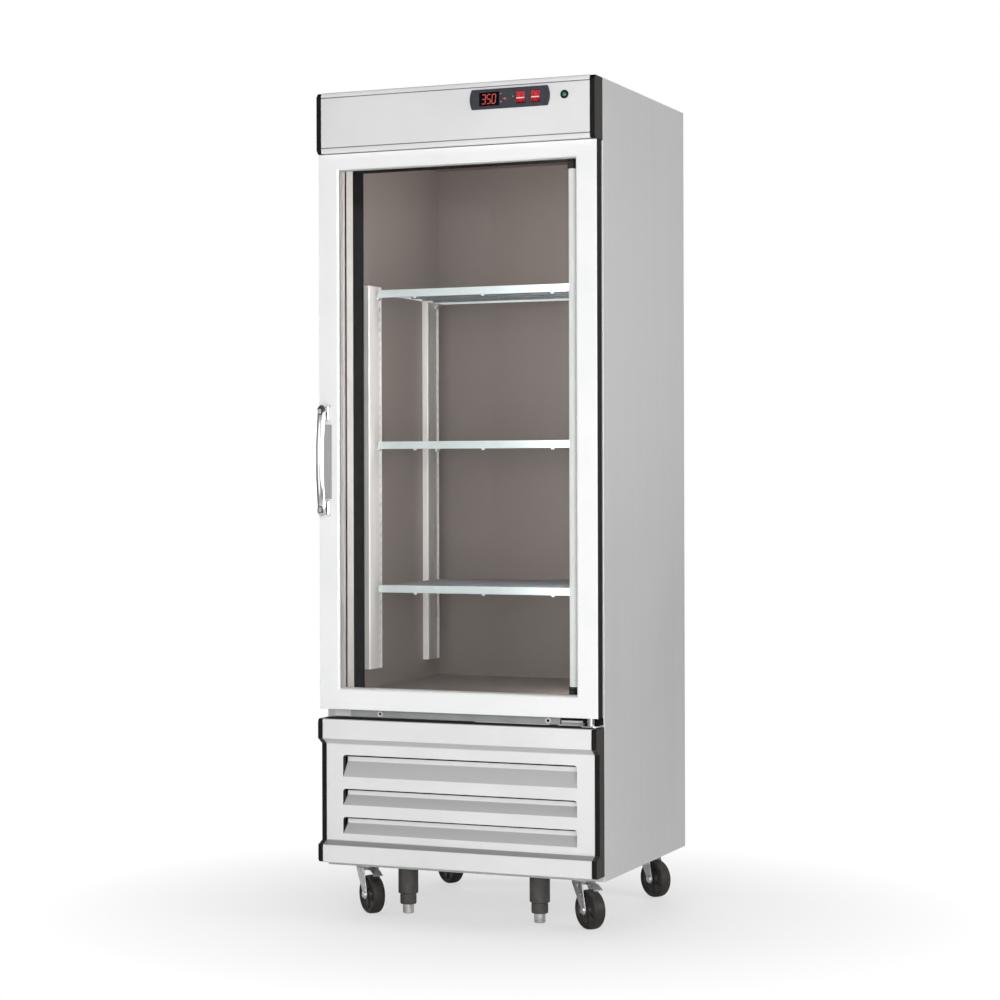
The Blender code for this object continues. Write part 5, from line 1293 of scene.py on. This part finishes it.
def build_lamp_post():
    bottom, top = deck_z + 0.0026, opening_top - 0.0026
    outline = rounded_outline(post_x - 0.0085, post_x + 0.0085, post_front, post_back, 0.006, 6, (0, 1))
    tube = softened(drawn("Z", outline, bottom + 0.013, top - 0.013), 0.0006, 2, 50)
    piece("lamp_diffuser", tube, "lamp_diffuser", lamp_white, "lamp_post")
    front, back = post_front - 0.002, post_back + 0.002
    outline = rounded_outline(post_x - 0.0105, post_x + 0.0105, front, back, 0.0070, 6, (0, 1))
    lows = (bottom, top - 0.026)
    holders = [softened(drawn("Z", outline, low, low + 0.026), 0.0010, 2, 50) for low in lows]
    piece("lamp_holders", gathered(holders), "lamp_diffuser", grey_moulded)


def build_inside():
    for end, front in pilaster_fronts.items():
        for side, label in sides:
            build_pilaster(end, front, side, label)
    for label, height in shelf_heights.items():
        build_shelf(label, height)
    build_lamp_post()


# Casters and legs


def tread_shape():
    """A rubber tread with rounded shoulders, in the wheel's own place on its swivel."""
    half = [
        (0.0400, wheel_half - 0.0040), (0.0412, wheel_half - 0.0008), (0.0430, wheel_half),
        (0.0450, wheel_half - 0.0006), (0.0474, wheel_half - 0.0034), (0.0486, wheel_half - 0.0072),
    ]
    return turned("Y", axle, from_half(half, [(wheel_radius, 0)]), 72)


def hub_shape():
    """The moulded wheel centre: a rim, a dished web with ribs, and a hub."""
    half = [
        (0.0402, wheel_half - 0.0034), (0.0372, wheel_half - 0.0028), (0.0360, wheel_half - 0.0060),
        (0.0340, wheel_half - 0.0080), (0.0170, wheel_half - 0.0080), (0.0150, wheel_half - 0.0060),
        (0.0140, wheel_half - 0.0006), (0.0055, wheel_half),
    ]
    shapes = [turned("Y", axle, from_half(half), 64)]
    for side in (-1, 1):
        middle = axle + Vector((0, side * (wheel_half - 0.0060), 0))
        low, high = middle + Vector((-0.0010, -0.0025, 0.0140)), middle + Vector((0.0010, 0.0025, 0.0355))
        shapes += turned_blocks(6, "Y", axle, low, high, 0.0006)
    return gathered(shapes)


def fork_shape():
    """A stamped fork: a round top with a race over it, two tapering cheeks and a bolt through the axle."""
    rim = [(fork_radius, -0.0009), (fork_radius, -fork_sheet)]
    top = [(0, 0), (0.0250, 0)] + rim + [(0.0245, -0.0032), (0, -0.0032)]
    shapes = [turned("Z", (0, 0, fork_top), top)]
    outer = fork_inner + fork_sheet
    crown = rounded_about(0, 0, -fork_rear, outer, 0.003, 4)
    shapes.append(softened(drawn("Z", crown, fork_top - fork_sheet, fork_top - 0.0002), 0.0006, 2, 50))
    cheek = [(fork_rear, fork_top - 0.0060), (fork_rear, fork_top - 0.0004), (0.0243, fork_top - 0.0004)]
    for step in range(9):
        angle = math.radians(25 - 27.5 * step)
        cheek.append((caster_trail + 0.012 * math.cos(angle), axle_z + 0.012 * math.sin(angle)))
    nut = [
        (0, 0.0048), (0.0072, 0.0048), (0.0088, 0.0036), (0.0088, 0.0012), (0.0105, 0.0008), (0.0105, 0),
        (0, 0),
    ]
    rivet = [(0, 0.0017), (0.6, 0.0015), (1, 0.0007), (1, 0), (0, 0)]
    for side in (-1, 1):
        shapes.append(softened(drawn("Y", cheek, *sorted((side * fork_inner, side * outer))), 0.0007, 2, 40))
        profile = [(radius, side * height) for radius, height in nut]
        shapes.append(turned("Y", axle + Vector((0, side * outer, 0)), profile, 6 if side > 0 else 24))
        for along, up, radius in ((0.0020, 0.1060, 0.0036), (0.0165, 0.0860, 0.0030)):
            profile = [(radius * share, side * height) for share, height in rivet]
            shapes.append(turned("Y", (along, side * outer, up), profile, 20))
    shapes.append(pin(axle, 0.005, 0.024, 24))
    return gathered(shapes)


def pedal_shape():
    """A pressed pedal with a turned-down end, over its barrel under the fork's top."""
    level = pedal_z + 0.001
    ends = ((-0.0015, 0), (0.0264, 0), (0.0455, -0.0105), (0.0480, -0.0122))
    path = [(pedal_x + along, level + up) for along, up in ends]
    return folded_sheet("Y", path, -pedal_half, pedal_half, {1: 0.006, 2: 0.002})


def lying(shape, place):
    bmesh.ops.transform(shape, matrix=place, verts=shape.verts)
    return shape


def build_casters():
    for name, (across, along, turn) in caster_places.items():
        place = Matrix.Translation((across, along, 0)) @ Matrix.Rotation(math.radians(turn), 4, "Z")
        wheel, fork, pedal = f"wheel_{name}", f"swivel_{name}", f"pedal_{name}"
        shape = lying(tread_shape(), place)
        piece(f"{wheel}_tread", shape, "tread", tread, f"caster_wheel_{name}", body=wheel)
        piece(f"{wheel}_centre", lying(hub_shape(), place), "tread", hub_grey, body=wheel, edge=0.0003)
        shape = lying(fork_shape(), place)
        piece(f"{fork}_fork", shape, "zinc_steel", zinc, f"caster_fork_{name}", body=fork)
        if name.startswith("front"):
            walls = {"wall": 0.0018, "inside": place @ Vector((0.035, 0, 0.05)), "edge": 0.0004}
            shape = lying(pedal_shape(), place)
            piece(f"{pedal}_plate", shape, "zinc_steel", zinc, f"brake_pedal_{name}", body=pedal, **walls)
            barrel = lying(pin((pedal_x, 0, pedal_z), 0.0021, 0.0187, 20), place)
            piece(f"{pedal}_barrel", barrel, "zinc_steel", zinc, body=pedal, edge=0.0002)


def build_legs():
    top = base_z - 0.0005
    sleeve = [
        (0.0105, top), (0.0290, top), (0.0290, 0.1226), (0.0270, 0.1216), (0.0255, 0.1200), (0.0255, 0.0570),
        (0.0245, 0.0556), (0.0215, 0.0550), (0.0205, 0.0540), (0.0205, 0.0292), (0.0195, 0.0282),
        (0.0105, 0.0280), (0.0105, top),
    ]
    foot = [
        (0, 0.0675), (0.0100, 0.0675), (0.0100, 0.0277), (0.0136, 0.0277), (0.0140, 0.0272),
        (0.0140, 0.0068), (0.0130, 0.0048), (0.0118, 0.0042), (0, 0.0042),
    ]
    for side, label in sides:
        centre = Vector((side * leg_x, leg_y, 0))
        low, high = centre + Vector((-0.0010, 0.0200, 0.0320)), centre + Vector((0.0010, 0.0211, 0.0510))
        flutes = turned_blocks(14, "Z", centre, low, high, 0.0003)
        shape = gathered([turned("Z", centre, sleeve, 56)] + flutes)
        piece(f"leg_{label}_sleeve", shape, "dark_plastic", leg_grey, f"leg_body_{label}", edge=0.0003)
        pad = {"body": f"foot_{label}", "edge": 0.0003}
        shape = turned("Z", centre, foot, 40)
        piece(f"foot_{label}_pad", shape, "light_grey_plastic", foot_grey, f"leg_foot_{label}", **pad)


# Back


def screw_heads(name, places):
    """Round screw heads with a socket, set against the back."""
    head = [
        (0, -0.0006), (0.0013, -0.0006), (0.0017, -0.00004), (0.0038, -0.00004), (0.0044, -0.0003),
        (0.0044, -0.0010), (0, -0.0010),
    ]
    shape = gathered([turned("Y", (across, case_back, up), head, 20) for across, up in places])
    piece(name, shape, "zinc_steel", zinc)


def build_back():
    edge, top = half_width - sheet - clearance, top_z - sheet - clearance
    column, bottom_row = edge - 0.012, machine_ceiling + 0.020
    places = [(side * column, bottom_row + 0.2512 * number) for number in range(7) for side in (-1, 1)]
    places += [(across, up) for across in (-0.18, 0, 0.18) for up in (bottom_row, top - 0.030)]
    shape = bmesh.new()
    field = [(-edge, machine_ceiling), (edge, machine_ceiling), (edge, top), (-edge, top)]
    lines = line_through(shape, "Y", field, case_back, True)
    for across, up in places:
        lines += line_through(shape, "Y", disc_outline(across, up, 0.0050, 16), case_back, True)
    bmesh.ops.triangle_fill(shape, use_beauty=True, edges=lines)
    for side in (-1, 1):
        folded_rim(shape, 0, side * edge, (0, -pan_flange, 0), (side * edge, case_back))
    piece("rear_sheet", shape, "galvanised_sheet", galvanised, "rear_panel", wall=sheet)
    screw_heads("rear_screws", places)
    low, high = base_z + 0.014, machine_ceiling - 0.012
    places = [(side * column, up) for side in (-1, 1) for up in (low, (low + high) / 2, high)]
    screw_heads("grille_screws", places + [(0, low), (0, high)])
    collar = [
        (0.0052, -0.0012), (0.0052, -0.0002), (0.0062, 0), (0.0105, 0), (0.0120, -0.0002), (0.0120, -0.0012),
        (0.0052, -0.0012),
    ]
    shape = turned("Y", (0.300, case_back - 0.00004, 0.186), collar, 32)
    piece("gland_collar", shape, "galvanised_sheet", black_moulded)


# Pieces kept as they are, with finer finishes


def carried(name, material):
    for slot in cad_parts[name].material_slots:
        slot.material = material


build_case()
build_header()
build_bezel()
build_display()
build_rockers()
build_pilot_lamp()
build_lower_front()
build_hinges()
build_door()
build_inside()
build_casters()
build_legs()
build_back()

kept = {
    "rear_grille": galvanised,
    "base_frame": galvanised,
    "foam_insulation": foam,
    "inner_liner": liner_paint,
    # Darker finish on the evaporator cover: painted shade.
    "evaporator_cover": ceiling_shade_paint,
    "evaporator_coil": fins,
    "evaporator_fan": black_moulded,
    "condenser_coil": fins,
    "condenser_fan_housing": black_moulded,
    "condenser_fan": blades,
    "compressor": black_steel,
}
for name, material in kept.items():
    carried(name, material)


# Floor, light and camera


def build_floor():
    """A white floor that the camera sees fade into the background."""
    shape = bmesh.new()
    bmesh.ops.create_grid(shape, x_segments=2, y_segments=2, size=40.0)
    mesh = bpy.data.meshes.new("floor")
    shape.to_mesh(mesh)
    shape.free()
    floor = put("floor", mesh)
    material, tree, shader, place = new_material("floor_white")
    values = {"Base Color": (0.92, 0.92, 0.92, 1), "Roughness": 0.85, "Specular IOR Level": 0.1}
    fill(tree, shader.inputs, values)
    far = wired(tree, "ShaderNodeVectorMath", {0: place}, "Value", operation="LENGTH")
    plain = wired(tree, "ShaderNodeEmission", {"Color": (1, 1, 1, 1)})
    away = ramp(tree, far, 0.40, 1.20, 0.55, 1.0)
    looking = maths(tree, "MAXIMUM", ray(tree, "Is Camera Ray"), ray(tree, "Is Transmission Ray"))
    mixed(tree, maths(tree, "MULTIPLY", away, looking), shader.outputs[0], plain, "Material Output")
    mesh.materials.append(material)


def build_world():
    """White where the camera sees it, and else a soft light that fades upwards, downwards and to the left."""
    world = bpy.data.worlds.new("studio")
    bpy.context.scene.world = world
    world.use_nodes = True
    tree = world.node_tree
    seen = tree.nodes["Background"]
    fill(tree, seen.inputs, {"Color": (1, 1, 1, 1), "Strength": 1.0})
    place = wired(tree, "ShaderNodeTexCoord", {}, "Generated")
    heading = node(tree, "ShaderNodeSeparateXYZ")
    fill(tree, heading.inputs, {0: place})
    above = ramp(tree, heading.outputs["Z"], 0.0, 0.6, 0.80, 0.12)
    below = ramp(tree, heading.outputs["Z"], -0.7, 0.0, 0.45, 0.80)
    beside = ramp(tree, heading.outputs["X"], -0.9, 0.2, 0.30, 1.0)
    strength = maths(tree, "MULTIPLY", maths(tree, "MINIMUM", above, below), beside)
    soft = wired(tree, "ShaderNodeBackground", {"Color": (1, 0.995, 0.99, 1), "Strength": strength})
    direct = maths(tree, "MAXIMUM", ray(tree, "Is Camera Ray"), ray(tree, "Is Transmission Ray"))
    mixed(tree, direct, soft, seen.outputs[0], "World Output")


def lamp(name, place, target, width, height, power):
    """A rectangular lamp at a place, turned to a target."""
    light = bpy.data.lights.new(name, "AREA")
    light.shape = "RECTANGLE"
    light.size = width
    light.size_y = height
    light.energy = power
    obj = put(name, light)
    obj.location = place
    obj.rotation_euler = (Vector(target) - Vector(place)).to_track_quat("-Z", "Y").to_euler()
    return obj


def build_camera():
    camera = bpy.data.cameras.new("camera")
    camera.sensor_width = 36.0
    camera.lens = 91.2
    camera.shift_x = 0.1473
    camera.shift_y = -0.0215
    camera.clip_end = 200.0
    obj = put("camera", camera)
    obj.location = (2.357, -6.164, 1.112)
    obj.rotation_euler = (math.radians(90), math.radians(0.153), math.radians(24.325))
    bpy.context.scene.camera = obj


build_floor()
build_world()
lamp("front_light", (0.9, -5.0, 1.4), (0, -0.3, 1.15), 3.4, 2.0, 85.0)
lamp("side_card", (-2.6, -4.9, 1.25), (-0.3, -0.35, 1.1), 1.7, 2.2, 12.0)
lamp("near_light", (2.0, -2.8, 1.25), (0.1, -0.3, 1.05), 1.4, 2.2, 29.0)
lamp("right_light", (4.2, -0.4, 1.7), (0.37, 0.05, 1.1), 2.0, 2.6, 58.0)
lamp("back_light", (-1.4, 4.6, 2.2), (-0.1, 0.4, 1.0), 2.4, 2.6, 70.0)
lamp("left_light", (-4.2, -0.4, 1.7), (-0.37, 0.05, 1.1), 2.0, 2.6, 46.0)
hidden_lamps = (
    lamp("inside_light", (0.296, -0.165, 1.31), (-0.3, 0.02, 1.31), 0.02, 1.38, 6.9),
    lamp("upper_light", (0.296, -0.20, 1.84), (-0.3, 0.10, 1.78), 0.02, 0.22, 1.5),
)
for hidden in hidden_lamps:
    hidden.visible_camera = False
build_camera()
bpy.context.scene.view_settings.view_transform = "Standard"
